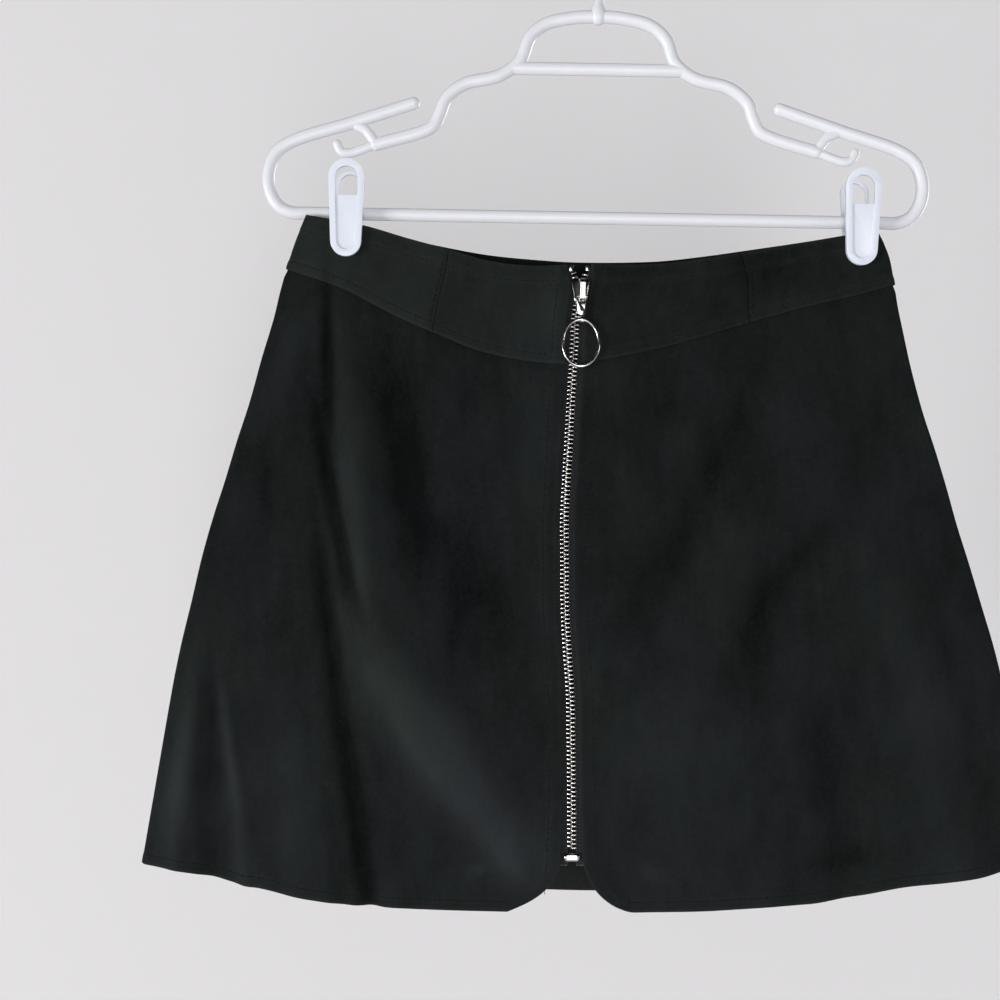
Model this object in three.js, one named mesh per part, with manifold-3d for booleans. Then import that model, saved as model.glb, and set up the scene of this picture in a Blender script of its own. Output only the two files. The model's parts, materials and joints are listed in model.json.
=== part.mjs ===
// Suede mini skirt on a plastic clip hanger, in millimetres, +Z up, +Y away from the viewer.
// The origin is where the hanger's hook bears on its rail. The cloth is a flattened tube of real
// wall thickness: a shaped yoke over an A-line skirt, open down the front for a metal zip.
import * as THREE from 'three';
import { mergeVertices } from 'three/addons/utils/BufferGeometryUtils.js';
import Module from 'manifold-3d';

const wasm = await Module();
wasm.setup();

// Driving sizes of the skirt
const CLOTH_PLANE_Y = -6.6;
const WALL = 1.4;
const SEAM_GAP = 0.3;
const LAP_LIFT = 0.4;
const PLACKET_WIDTH = 14;
const CORNER_START = 0.923;
const SOFT = 0.5;

// The hem's corner beside the zip: how far it reaches, and how much of its turn is a slant
const CORNER = { left: { reach: 31, slant: 1 }, right: { reach: 30.6, slant: 0.2 }, power: 2.4 };

// Where the clips stop the tube from opening, as a share of the way to each side fold
const PINNED = { left: 0.755, right: 0.86 };

// Driving sizes of the zip
const TAPE = { inner: 3.7, outer: 14, depth: 1.5, wall: 1.0, start: 0.004, end: 0.93 };
const CHAIN = { inner: 0.15, outer: 3.4, front: 0.2, back: 2.8, start: 0.012, end: 0.908 };
const ZIP_ROW = { fine: 0.0097, fineEnd: 0.07, coarse: 0.0362 };
const SLIDER_T = 0.041;
const DIVERGE_SLOPE = 0.24;
const STOP = {
  width: 9.6, coreHalf: 3.3, height: 4.6, front: -0.7, capBack: 0.55, back: 2.8, t: 0.9105,
};
const TOP_STOP = { width: 2.6, height: 3.2, t: 0.0065 };
const SLIDER = {
  halfHeight: 7.6, topWidth: 11.2, waistWidth: 9.6, footWidth: 8,
  front: -1.7, back: -0.1, rearFront: 3.1, rearBack: 4.2,
};
const CROWN = { width: 3, front: -5.5, wall: 1, halfHeight: 7, corner: 2 };
const PULL = {
  y: -2.9, hingeZ: -4.3, barRadius: 0.75, thickness: 1.3, shoulder: 3.4, legInner: 2.1,
  windowEnd: -8.3, footZ: -15.4, footHalf: 2.5, holeRadius: 0.8, holeZ: -11.4,
};
const EYE = { z: -18.9, inner: 1.35, outer: 2.1, width: 2.2 };
const RING = { halfWidth: 11.15, halfHeight: 14.45, wire: 1 };

// Driving sizes of the hanger
const TILT = THREE.MathUtils.degToRad(1);
const TUBE_RADIUS = 4;
const HOOK_RADIUS = 3.1;
const HOOK_INNER = 19;
const BAR_Z = -190.8;
const BAR_HALF = 183.8;
const CLIP = {
  top: 31.5, height: 60, topRadius: 11.2, footRadius: 9.6, jawWall: 2.8, jawGap: 2.15,
  sleeveHalf: 6, windowHalf: 7, windowTop: 4.4, windowBottom: 22.4, corner: 1,
  troughFoot: 4, troughRadius: 6, troughDepth: 0.9, backInset: 2.2,
};
const CLIPS = [{ side: 'left', x: -155.3 }, { side: 'right', x: 165.7 }];

const SUEDE = { color: 0x1d2122, roughness: 0.95, metalness: 0 };
const SUEDE_YOKE = { color: 0x20282a, roughness: 0.95, metalness: 0 };
const TAPE_CLOTH = { color: 0x121314, roughness: 0.9, metalness: 0 };
const METAL = { color: 0xc8c8c6, roughness: 0.22, metalness: 1 };
const HANGER_PLASTIC = { color: 0xe6e7ec, roughness: 0.4, metalness: 0 };
const CLIP_PLASTIC = { color: 0xeceffa, roughness: 0.35, metalness: 0 };

// The skirt's left edge, zip line and right edge at each fraction of the way down
const BREADTH = [
  { t: 0.00, left: -183.6, zip: -13.9, right: 172.1 },
  { t: 0.04, left: -190.3, zip: -13.2, right: 179.4 },
  { t: 0.08, left: -195.6, zip: -16.0, right: 182.6 },
  { t: 0.12, left: -200.1, zip: -17.1, right: 185.0 },
  { t: 0.16, left: -204.0, zip: -17.9, right: 188.2 },
  { t: 0.22, left: -211.3, zip: -19.4, right: 193.3 },
  { t: 0.29, left: -219.1, zip: -20.8, right: 200.6 },
  { t: 0.35, left: -227.0, zip: -22.2, right: 208.3 },
  { t: 0.41, left: -234.3, zip: -23.4, right: 215.4 },
  { t: 0.47, left: -242.1, zip: -23.4, right: 221.9 },
  { t: 0.53, left: -248.9, zip: -23.2, right: 229.3 },
  { t: 0.60, left: -255.5, zip: -21.7, right: 237.5 },
  { t: 0.66, left: -261.4, zip: -20.1, right: 244.5 },
  { t: 0.72, left: -266.4, zip: -19.8, right: 250.3 },
  { t: 0.84, left: -274.9, zip: -19.4, right: 259.3 },
  { t: 1.00, left: -286.1, zip: -19.2, right: 269.0 },
];

// Half the skirt's front to back depth at its middle, and the radius of its folded side edges
const DEPTH = [
  { t: 0.00, half: 7.0, fold: 0.85 },
  { t: 0.15, half: 11.0, fold: 1.1 },
  { t: 0.40, half: 16.5, fold: 1.8 },
  { t: 0.70, half: 21.0, fold: 2.5 },
  { t: 1.00, half: 24.0, fold: 3.0 },
];

// The zip opening: half the distance between its two suede edges
const OPENING = [
  { t: 0.00, half: 7.4 },
  { t: 0.03, half: 6.4 },
  { t: 0.08, half: 5.2 },
  { t: 0.80, half: 5.2 },
  { t: 0.923, half: 6.8 },
  { t: 0.945, half: 8.1 },
  { t: 0.97, half: 8.3 },
  { t: 1.00, half: 8.3 },
];

// Height of the waist edge, front and back, from the left fold (s -1) to the right fold (s 1)
const WAIST = [
  { s: -1.00, front: -190.1, back: -190.1 },
  { s: -0.79, front: -196.7, back: -196.6 },
  { s: -0.62, front: -205.3, back: -205.0 },
  { s: -0.47, front: -212.5, back: -210.3 },
  { s: -0.33, front: -219.6, back: -214.3 },
  { s: -0.18, front: -222.8, back: -216.8 },
  { s: 0.00, front: -222.2, back: -218.6 },
  { s: 0.25, front: -221.8, back: -218.3 },
  { s: 0.41, front: -218.5, back: -215.5 },
  { s: 0.60, front: -212.5, back: -210.9 },
  { s: 0.75, front: -207.6, back: -207.0 },
  { s: 0.88, front: -203.4, back: -203.3 },
  { s: 1.00, front: -199.5, back: -199.5 },
];

// Height of the hem edge across the skirt
const HEM = [
  { s: -1.00, front: -594.6, back: -594.6 },
  { s: -0.90, front: -599.2, back: -599.2 },
  { s: -0.80, front: -603.0, back: -602.6 },
  { s: -0.70, front: -608.0, back: -606.6 },
  { s: -0.60, front: -613.2, back: -610.8 },
  { s: -0.50, front: -616.0, back: -613.6 },
  { s: -0.25, front: -618.0, back: -617.0 },
  { s: 0.00, front: -618.8, back: -618.6 },
  { s: 0.25, front: -618.4, back: -617.4 },
  { s: 0.50, front: -615.4, back: -613.4 },
  { s: 0.60, front: -611.6, back: -610.4 },
  { s: 0.70, front: -606.8, back: -606.2 },
  { s: 0.80, front: -604.4, back: -603.8 },
  { s: 0.90, front: -601.4, back: -601.0 },
  { s: 1.00, front: -592.0, back: -592.0 },
];

// The yoke seam: how far down it lies, from the left fold to the right fold
const YOKE_SEAM = [
  { s: -1.00, front: 0.084, back: 0.084 },
  { s: -0.80, front: 0.098, back: 0.100 },
  { s: -0.60, front: 0.118, back: 0.116 },
  { s: -0.42, front: 0.133, back: 0.130 },
  { s: -0.20, front: 0.148, back: 0.143 },
  { s: 0.00, front: 0.156, back: 0.148 },
  { s: 0.20, front: 0.139, back: 0.143 },
  { s: 0.45, front: 0.116, back: 0.124 },
  { s: 0.65, front: 0.103, back: 0.108 },
  { s: 0.85, front: 0.094, back: 0.096 },
  { s: 1.00, front: 0.088, back: 0.088 },
];

// The upright seams in the front yoke, as a place across the skirt
const YOKE_UPRIGHT = { left: -0.475, right: 0.54 };

// The largest folds: a line across (s) and down (t), its half width in mm, how proud it stands
// in mm (negative for a trough), and whether it runs out through the hem
const FOLDS = [
  { side: -1, s0: -0.735, t0: 0.36, s1: -0.585, t1: 0.68, s2: -0.455, t2: 1, width: 6.5, proud: -4.6, open: 1 },
  { side: -1, s0: -0.83, t0: 0.22, s1: -0.675, t1: 0.41, s2: -0.49, t2: 0.63, width: 5, proud: -3.8, open: 0 },
  { side: -1, s0: -0.8, t0: 0.1, s1: -0.64, t1: 0.35, s2: -0.475, t2: 0.68, width: 11, proud: 4.6, open: 0 },
  { side: -1, s0: -0.65, t0: 0.09, s1: -0.52, t1: 0.29, s2: -0.36, t2: 0.54, width: 16, proud: -4.4, open: 0 },
  { side: -1, s0: -0.4, t0: 0.34, s1: -0.22, t1: 0.53, s2: -0.1, t2: 0.74, width: 24, proud: -2.6, open: 0 },
  { side: -1, s0: -0.6, t0: 0.5, s1: -0.34, t1: 0.75, s2: 0.02, t2: 1, width: 21, proud: 4.6, open: 1 },
  { side: -1, s0: -0.925, t0: 0.62, s1: -0.87, t1: 0.83, s2: -0.825, t2: 1, width: 9, proud: -3.4, open: 1 },
  { side: -1, s0: -0.9, t0: 0.64, s1: -0.82, t1: 0.82, s2: -0.745, t2: 1, width: 5, proud: 3, open: 1 },
  { side: -1, s0: 0.56, t0: 0.16, s1: 0.37, t1: 0.36, s2: 0.15, t2: 0.6, width: 14, proud: -3, open: 0 },
  { side: -1, s0: 0.72, t0: 0.4, s1: 0.5, t1: 0.53, s2: 0.44, t2: 0.78, width: 13, proud: -2.8, open: 0 },
  { side: -1, s0: 0.7, t0: 0.34, s1: 0.78, t1: 0.62, s2: 0.82, t2: 1, width: 20, proud: 2.4, open: 1 },
  { side: -1, s0: 0.56, t0: 0.66, s1: 0.57, t1: 0.82, s2: 0.575, t2: 1, width: 13, proud: -2.4, open: 1 },
  { side: 1, s0: -0.84, t0: 0.12, s1: -0.66, t1: 0.5, s2: -0.54, t2: 1, width: 11, proud: -3, open: 1 },
  { side: 1, s0: -0.66, t0: 0.14, s1: -0.5, t1: 0.52, s2: -0.4, t2: 1, width: 18, proud: 3, open: 1 },
  { side: 1, s0: 0.84, t0: 0.14, s1: 0.68, t1: 0.5, s2: 0.56, t2: 1, width: 12, proud: -2.8, open: 1 },
  { side: 1, s0: 0.68, t0: 0.16, s1: 0.52, t1: 0.52, s2: 0.42, t2: 1, width: 19, proud: 2.8, open: 1 },
  { side: 1, s0: -0.05, t0: 0.3, s1: 0.02, t1: 0.6, s2: 0.06, t2: 1, width: 26, proud: -2.6, open: 1 },
];

const FRONT = -1;
const BACK = 1;
const lerp = (a, b, k) => a + (b - a) * k;
const clamp01 = (x) => Math.min(1, Math.max(0, x));
const range = (n) => Array.from({ length: n + 1 }, (unused, i) => i / n);

function smooth(a, b, x) {
  const k = clamp01((x - a) / (b - a));
  return k * k * (3 - 2 * k);
}

// A smooth curve through one column of a table (cubic Hermite with the slopes of its neighbours)
function curve(rows, input, output) {
  const x = rows.map((row) => row[input]);
  const y = rows.map((row) => row[output]);
  const last = rows.length - 1;
  const slope = y.map((unused, i) => {
    const a = Math.max(0, i - 1);
    const b = Math.min(last, i + 1);
    return (y[b] - y[a]) / (x[b] - x[a]);
  });
  return (at) => {
    const v = Math.min(x[last], Math.max(x[0], at));
    let i = 0;
    while (i < last - 1 && v > x[i + 1]) i += 1;
    const h = x[i + 1] - x[i];
    const k = (v - x[i]) / h;
    const k2 = k * k;
    const k3 = k2 * k;
    return (2 * k3 - 3 * k2 + 1) * y[i] + (k3 - 2 * k2 + k) * h * slope[i]
      + (3 * k2 - 2 * k3) * y[i + 1] + (k3 - k2) * h * slope[i + 1];
  };
}

const leftEdge = curve(BREADTH, 't', 'left');
const zipLine = curve(BREADTH, 't', 'zip');
const rightEdge = curve(BREADTH, 't', 'right');
const halfDepth = curve(DEPTH, 't', 'half');
const foldRadius = curve(DEPTH, 't', 'fold');
const openingHalf = curve(OPENING, 't', 'half');
const waist = { [FRONT]: curve(WAIST, 's', 'front'), [BACK]: curve(WAIST, 's', 'back') };
const hem = { [FRONT]: curve(HEM, 's', 'front'), [BACK]: curve(HEM, 's', 'back') };
const yokeSeam = {
  [FRONT]: curve(YOKE_SEAM, 's', 'front'),
  [BACK]: curve(YOKE_SEAM, 's', 'back'),
};

function halfWidth(s, t) {
  return s < 0 ? zipLine(t) - leftEdge(t) : rightEdge(t) - zipLine(t);
}

// How far the tube stands open across the skirt: nothing at the clips, full at the middle
function bulge(s, t) {
  const pinned = s < 0 ? PINNED.left : PINNED.right;
  const reach = lerp(pinned, 1, smooth(0.02, 0.24, t));
  const p = lerp(2, 2.6, smooth(0, 0.4, t));
  const q = lerp(1.5, 1.3, smooth(0, 0.4, t));
  return Math.pow(Math.max(0, 1 - Math.pow(Math.abs(s) / reach, p)), q);
}

// The outward push of every fold at one place, faded out at the side folds and at the zip
function foldPush(side, s, t) {
  let push = 0;
  for (const f of FOLDS) {
    if (f.side !== side) continue;
    const k = clamp01((t - f.t0) / (f.t2 - f.t0));
    const knee = (f.t1 - f.t0) / (f.t2 - f.t0);
    const bend = (f.s1 - lerp(f.s0, f.s2, knee)) / (knee * (1 - knee));
    const line = lerp(f.s0, f.s2, k) + bend * k * (1 - k);
    const across = (s - line) * halfWidth(s, t) / f.width;
    const along = smooth(f.t0, lerp(f.t0, f.t2, 0.35), t)
      * (f.open ? 1 : 1 - smooth(lerp(f.t0, f.t2, 0.6), f.t2, t));
    push += f.proud * along * Math.exp(-across * across);
  }
  const sideFade = 1 - smooth(0.9, 0.985, Math.abs(s));
  const zipFade = side === FRONT ? smooth(0.05, 0.14, Math.abs(s)) : 1;
  return push * sideFade * zipFade;
}

// A point of the cloth's middle surface: side, s across (-1 left fold, 1 right fold), t down
function middle(side, s, t) {
  const r = foldRadius(t);
  const width = halfWidth(s, t);
  const flat = width - r;
  const along = Math.abs(s) * (flat + r * Math.PI / 2);
  const way = s < 0 ? -1 : 1;
  const z = lerp(waist[side](s), hem[side](s), t);
  if (along > flat) {
    const angle = (along - flat) / r;
    const x = zipLine(t) + way * (flat + r * Math.sin(angle));
    const rise = r + lipRise(0);
    return new THREE.Vector3(x, CLOTH_PLANE_Y + side * rise * Math.cos(angle), z);
  }
  const open = (halfDepth(t) - r) * bulge(way * along / flat, t) + foldPush(side, s, t);
  const x = zipLine(t) + way * along;
  return new THREE.Vector3(x, CLOTH_PLANE_Y + side * (r + lipRise(open)), z);
}

// Keeps the two layers apart: the opening where it is positive, a small rise where it is not
function lipRise(open) {
  return 0.5 * (open + Math.sqrt(open * open + SOFT * SOFT));
}

// The outward direction of the cloth at one place
function outward(side, s, t) {
  const ds = Math.abs(s) > 0.5 ? -Math.sign(s) * 1e-3 : 1e-3;
  const dt = t > 0.5 ? -1e-3 : 1e-3;
  const here = middle(side, s, t);
  const across = middle(side, s + ds, t).sub(here).multiplyScalar(1 / ds);
  const down = middle(side, s, t + dt).sub(here).multiplyScalar(1 / dt);
  const normal = across.cross(down).normalize();
  return side === FRONT ? normal.negate() : normal;
}

function geometryFrom(points, triangles) {
  const geometry = new THREE.BufferGeometry();
  const flat = new Float32Array(points.length * 3);
  points.forEach((p, i) => flat.set([p.x, p.y, p.z], i * 3));
  geometry.setAttribute('position', new THREE.BufferAttribute(flat, 3));
  geometry.setIndex(triangles);
  let volume = 0;
  for (let i = 0; i < triangles.length; i += 3) {
    const [a, b, c] = [0, 1, 2].map((k) => points[triangles[i + k]]);
    volume += a.dot(b.clone().cross(c));
  }
  if (volume < 0) {
    for (let i = 0; i < triangles.length; i += 3) {
      [triangles[i], triangles[i + 1]] = [triangles[i + 1], triangles[i]];
    }
    geometry.setIndex(triangles);
  }
  geometry.computeVertexNormals();
  return geometry;
}

// Closes two grids of points, an outer and an inner skin, into one wall
function wallGeometry(outer, inner) {
  const rows = outer.length;
  const cols = outer[0].length;
  const points = [...outer.flat(), ...inner.flat()];
  const at = (layer, r, c) => layer * rows * cols + r * cols + c;
  const triangles = [];
  const quad = (a, b, c, d) => triangles.push(a, b, c, a, c, d);
  for (let r = 0; r < rows - 1; r += 1) {
    for (let c = 0; c < cols - 1; c += 1) {
      quad(at(0, r, c), at(0, r, c + 1), at(0, r + 1, c + 1), at(0, r + 1, c));
      quad(at(1, r, c), at(1, r + 1, c), at(1, r + 1, c + 1), at(1, r, c + 1));
    }
    quad(at(0, r, 0), at(0, r + 1, 0), at(1, r + 1, 0), at(1, r, 0));
    quad(at(0, r, cols - 1), at(1, r, cols - 1), at(1, r + 1, cols - 1), at(0, r + 1, cols - 1));
  }
  for (let c = 0; c < cols - 1; c += 1) {
    quad(at(0, 0, c), at(1, 0, c), at(1, 0, c + 1), at(0, 0, c + 1));
    quad(at(0, rows - 1, c), at(0, rows - 1, c + 1), at(1, rows - 1, c + 1), at(1, rows - 1, c));
  }
  return geometryFrom(points, triangles);
}

// How far the turned edge beside the zip stands proud of the single cloth
function lapLift(side, s, t) {
  if (side === BACK) return 0;
  const fromZip = Math.abs(s) * halfWidth(s, t);
  return LAP_LIFT * (1 - smooth(PLACKET_WIDTH - 1, PLACKET_WIDTH + 1, fromZip));
}

// One cut piece of the skirt, between two lines across (from, to) and two lines down (top, foot)
function panel(side, columns, rows, from, to, top, foot) {
  const outer = [];
  const inner = [];
  for (const v of rows) {
    const outerRow = [];
    const innerRow = [];
    const begin = from(v);
    const end = to(v);
    for (const u of columns) {
      const s = lerp(begin, end, u);
      const t = lerp(top(s), foot(s), v);
      const centre = middle(side, s, t);
      const normal = outward(side, s, t);
      outerRow.push(centre.clone().addScaledVector(normal, WALL / 2 + lapLift(side, s, t)));
      innerRow.push(centre.clone().addScaledVector(normal, -WALL / 2));
    }
    outer.push(outerRow);
    inner.push(innerRow);
  }
  return wallGeometry(outer, inner);
}

// Places across the skirt: the zip's suede edge with its rounded foot, seams and side folds
function zipEdge(way, t) {
  const { reach, slant } = way < 0 ? CORNER.left : CORNER.right;
  const turn = clamp01((t - CORNER_START) / (1 - CORNER_START));
  const circle = 1 - Math.sqrt(1 - turn * turn);
  const round = reach * lerp(circle, Math.pow(turn, CORNER.power), slant);
  return way * (openingHalf(t) + round) / halfWidth(way, t);
}

function sideFold(way, t) {
  return way * (1 - (SEAM_GAP / 2) / halfWidth(way, t));
}

const downGap = SEAM_GAP / 2 / 400;
const seamTop = (side) => (s) => yokeSeam[side](s) - downGap;
const seamFoot = (side) => (s) => yokeSeam[side](s) + downGap;
const waistLine = () => 0;
const hemLine = () => 1;

// Rows of a panel that ends in the rounded corner, close together where the corner turns
function cornerRows(steps, turnSteps, topT) {
  const body = range(steps).map((k) => k * (CORNER_START - topT) / (1 - topT));
  const turn = range(turnSteps).slice(1).map((k) => {
    const t = lerp(CORNER_START, 1, Math.sin(k * Math.PI / 2));
    return (t - topT) / (1 - topT);
  });
  return [...body, ...turn];
}

function frontYoke(way, name) {
  const upright = YOKE_UPRIGHT[name];
  const gap = way * (SEAM_GAP / 2) / halfWidth(way, 0.06);
  const tAt = (v, s) => v * yokeSeam[FRONT](s);
  const centre = panel(FRONT, [0, 0.16, 0.2, ...range(8).slice(2)], range(4),
    (v) => zipEdge(way, tAt(v, 0)), () => upright - gap, waistLine, seamTop(FRONT));
  const outerPart = panel(FRONT, range(10), range(4),
    () => upright + gap, (v) => sideFold(way, tAt(v, way)), waistLine, seamTop(FRONT));
  return { centre, outerPart };
}

function frontPanel(way) {
  const topT = yokeSeam[FRONT](0);
  const rows = cornerRows(14, 4, topT);
  const columns = [0, 0.046, 0.062, ...range(26).slice(3)];
  const tAt = (v) => lerp(topT, 1, v);
  return panel(FRONT, columns, rows,
    (v) => zipEdge(way, tAt(v)), (v) => sideFold(way, tAt(v)), seamFoot(FRONT), hemLine);
}

function backPiece(columns, rows, top, foot) {
  const begin = (v) => sideFold(-1, v);
  const end = (v) => sideFold(1, v);
  return panel(BACK, range(columns), range(rows), begin, end, top, foot);
}

// A point beside the zip: across from its line, how far in behind the cloth's middle surface
function zipPoint(t, across, inward) {
  const s = across / halfWidth(across, t);
  return middle(FRONT, s, t).addScaledVector(outward(FRONT, s, t), -inward);
}

// How far the two rows of teeth part above the slider's middle
function diverge(t) {
  return Math.max(0, (SLIDER_T - t) * 396 * DIVERGE_SLOPE);
}

// The places down the zip that its tapes and teeth share, closer together where they part
function zipRows(start, end) {
  const rows = [TAPE.start];
  for (let t = CHAIN.start; t < CHAIN.end - 0.01;) {
    rows.push(t);
    t += t < ZIP_ROW.fineEnd ? ZIP_ROW.fine : ZIP_ROW.coarse;
  }
  rows.push(CHAIN.end, TAPE.end);
  return rows.filter((t) => t >= start && t <= end);
}

// A long strip beside the zip with a rectangular section
function zipStrip(way, near, far, front, back, start, end) {
  const outer = [];
  const inner = [];
  for (const t of zipRows(start, end)) {
    const shift = diverge(t);
    outer.push([near, far].map((x) => zipPoint(t, way * (x + shift), front)));
    inner.push([near, far].map((x) => zipPoint(t, way * (x + shift), back)));
  }
  return wallGeometry(outer, inner);
}

function solid(geometry) {
  const bare = geometry.clone();
  bare.deleteAttribute('normal');
  bare.deleteAttribute('uv');
  const merged = mergeVertices(bare, 1e-4);
  return new wasm.Manifold(new wasm.Mesh({
    numProp: 3,
    vertProperties: Float32Array.from(merged.attributes.position.array),
    triVerts: Uint32Array.from(merged.index.array),
  }));
}

function geometryOf(manifold) {
  const mesh = manifold.getMesh();
  const geometry = new THREE.BufferGeometry();
  geometry.setAttribute('position', new THREE.BufferAttribute(mesh.vertProperties, 3));
  geometry.setIndex(new THREE.BufferAttribute(mesh.triVerts, 1));
  geometry.computeVertexNormals();
  return geometry;
}

function join(first, ...others) {
  return geometryOf(others.reduce((sum, g) => sum.add(solid(g)), solid(first)));
}

function cut(first, ...others) {
  return geometryOf(others.reduce((sum, g) => sum.subtract(solid(g)), solid(first)));
}

function intersect(first, second) {
  return geometryOf(solid(first).intersect(solid(second)));
}

function box(x0, x1, y0, y1, z0, z1) {
  const geometry = new THREE.BoxGeometry(x1 - x0, y1 - y0, z1 - z0);
  return geometry.translate((x0 + x1) / 2, (y0 + y1) / 2, (z0 + z1) / 2);
}

// A rod or sleeve lying along X
function rodX(radius, length, y, z, sides = 16) {
  return new THREE.CylinderGeometry(radius, radius, length, sides)
    .rotateZ(Math.PI / 2).translate(0, y, z);
}

// An outline in X and Z, made thick along Y from y0 to y1
function plate(shape, y0, y1, curveSegments = 6) {
  const geometry = new THREE.ExtrudeGeometry(shape, {
    depth: y1 - y0, bevelEnabled: false, curveSegments,
  });
  return geometry.rotateX(Math.PI / 2).translate(0, y1, 0);
}

// An outline in Y and Z, made wide along X about the middle
function profile(points, width) {
  const shape = new THREE.Shape(points.map(([y, z]) => new THREE.Vector2(y, z)));
  const geometry = new THREE.ExtrudeGeometry(shape, { depth: width, bevelEnabled: false });
  const turn = new THREE.Matrix4().makeBasis(
    new THREE.Vector3(0, 1, 0), new THREE.Vector3(0, 0, 1), new THREE.Vector3(1, 0, 0));
  return geometry.applyMatrix4(turn).translate(-width / 2, 0, 0);
}

// A round section as a polygon
function roundSection(radius, sides) {
  return new THREE.Shape(range(sides).slice(0, -1).map((k) => new THREE.Vector2(
    radius * Math.cos(k * 2 * Math.PI), radius * Math.sin(k * 2 * Math.PI))));
}

// A round tube along a smooth curve through points in the X and Z plane
function tube(points, radius, steps, sides = 8) {
  const path = new THREE.CatmullRomCurve3(
    points.map(([x, z]) => new THREE.Vector3(x, 0, z)), false, 'centripetal');
  return new THREE.ExtrudeGeometry(roundSection(radius, sides), {
    steps, extrudePath: path, bevelEnabled: false,
  });
}

const part = new THREE.Group();

function add(parent, name, geometry, finish) {
  const mesh = new THREE.Mesh(geometry, new THREE.MeshStandardMaterial(finish));
  mesh.name = name;
  parent.add(mesh);
  return mesh;
}

// Cut pieces of the skirt
for (const [name, way] of [['left', -1], ['right', 1]]) {
  const { centre, outerPart } = frontYoke(way, name);
  add(part, `yoke_centre_${name}`, centre, SUEDE_YOKE);
  add(part, `yoke_side_${name}`, outerPart, SUEDE_YOKE);
  add(part, `front_panel_${name}`, frontPanel(way), SUEDE);
}
add(part, 'back_yoke', backPiece(26, 3, waistLine, seamTop(BACK)), SUEDE_YOKE);
add(part, 'back_panel', backPiece(30, 12, seamFoot(BACK), hemLine), SUEDE);

// Zip: two tapes, two rows of teeth as plain strips, and the stops at their ends
for (const [name, way] of [['left', -1], ['right', 1]]) {
  add(part, `zip_tape_${name}`, zipStrip(way, TAPE.inner, TAPE.outer,
    TAPE.depth - TAPE.wall / 2, TAPE.depth + TAPE.wall / 2, TAPE.start, TAPE.end), TAPE_CLOTH);
  add(part, `zip_chain_${name}`, zipStrip(way, CHAIN.inner, CHAIN.outer,
    CHAIN.front, CHAIN.back, CHAIN.start, CHAIN.end), METAL);
  const top = zipPoint(TOP_STOP.t, way * (diverge(TOP_STOP.t) + 1.8), 0);
  const stop = box(-TOP_STOP.width / 2, TOP_STOP.width / 2, CHAIN.front - 0.5, CHAIN.back,
    -TOP_STOP.height / 2, TOP_STOP.height / 2);
  add(part, `top_stop_${name}`, stop, METAL).position.copy(top);
}
const foot = zipPoint(STOP.t, 0, 0);
const stopCap = box(-STOP.width / 2, STOP.width / 2, STOP.front, STOP.capBack, -STOP.height, 0);
const stopCore = box(-STOP.coreHalf, STOP.coreHalf, STOP.front + 0.2, STOP.back,
  -STOP.height, 0);
add(part, 'bottom_stop', join(stopCap, stopCore), METAL)
  .position.set(zipLine(STOP.t), foot.y, foot.z);

// Slider and its pull, in a frame that leans with the cloth under them
const hardware = new THREE.Group();
const seat = zipPoint(SLIDER_T, 0, 0);
const under = zipPoint(SLIDER_T + 0.06, 0, 0);
hardware.position.set(zipLine(SLIDER_T), seat.y, seat.z);
hardware.rotation.x = Math.atan2(under.y - seat.y, seat.z - under.z);
part.add(hardware);

function shield() {
  const h = SLIDER.halfHeight;
  const top = SLIDER.topWidth / 2;
  const mid = SLIDER.waistWidth / 2;
  const low = SLIDER.footWidth / 2;
  const shape = new THREE.Shape();
  shape.moveTo(-low, -h + 1.5);
  shape.quadraticCurveTo(-low, -h, -low + 1.5, -h);
  shape.lineTo(low - 1.5, -h);
  shape.quadraticCurveTo(low, -h, low, -h + 1.5);
  shape.bezierCurveTo(mid, -1, top, 1, top, h - 3);
  shape.quadraticCurveTo(top, h, top - 3, h);
  shape.lineTo(-top + 3, h);
  shape.quadraticCurveTo(-top, h, -top, h - 3);
  shape.bezierCurveTo(-top, 1, -mid, -1, -low, -h + 1.5);
  return shape;
}

// A rectangle with rounded outer corners in Y and Z, from the plate's face to the crown's front
function crownOutline(inset) {
  const front = CROWN.front + inset;
  const h = CROWN.halfHeight - inset * 1.5;
  const r = Math.max(0.6, CROWN.corner - inset);
  const points = [[SLIDER.front + 0.4, -h]];
  for (const k of range(5)) {
    const a = k * Math.PI / 2;
    points.push([front + r - r * Math.sin(a), -h + r - r * Math.cos(a)]);
  }
  for (const k of range(5)) {
    const a = k * Math.PI / 2;
    points.push([front + r - r * Math.cos(a), h - r + r * Math.sin(a)]);
  }
  points.push([SLIDER.front + 0.4, h]);
  return points;
}

const neck = new THREE.Shape([[0, 2.6], [1.1, 6], [1.1, 7.4], [-1.1, 7.4], [-1.1, 6]]
  .map(([x, z]) => new THREE.Vector2(x, z)));
const crownHollow = intersect(profile(crownOutline(CROWN.wall), CROWN.width + 1),
  box(-3, 3, CROWN.front, SLIDER.front, -9, 9));
const crown = cut(profile(crownOutline(0), CROWN.width), crownHollow);
const sliderGeometry = join(plate(shield(), SLIDER.front, SLIDER.back), crown,
  plate(neck, SLIDER.back - 0.2, SLIDER.rearFront + 0.2),
  plate(shield(), SLIDER.rearFront, SLIDER.rearBack));
add(hardware, 'slider', sliderGeometry, METAL);

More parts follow.
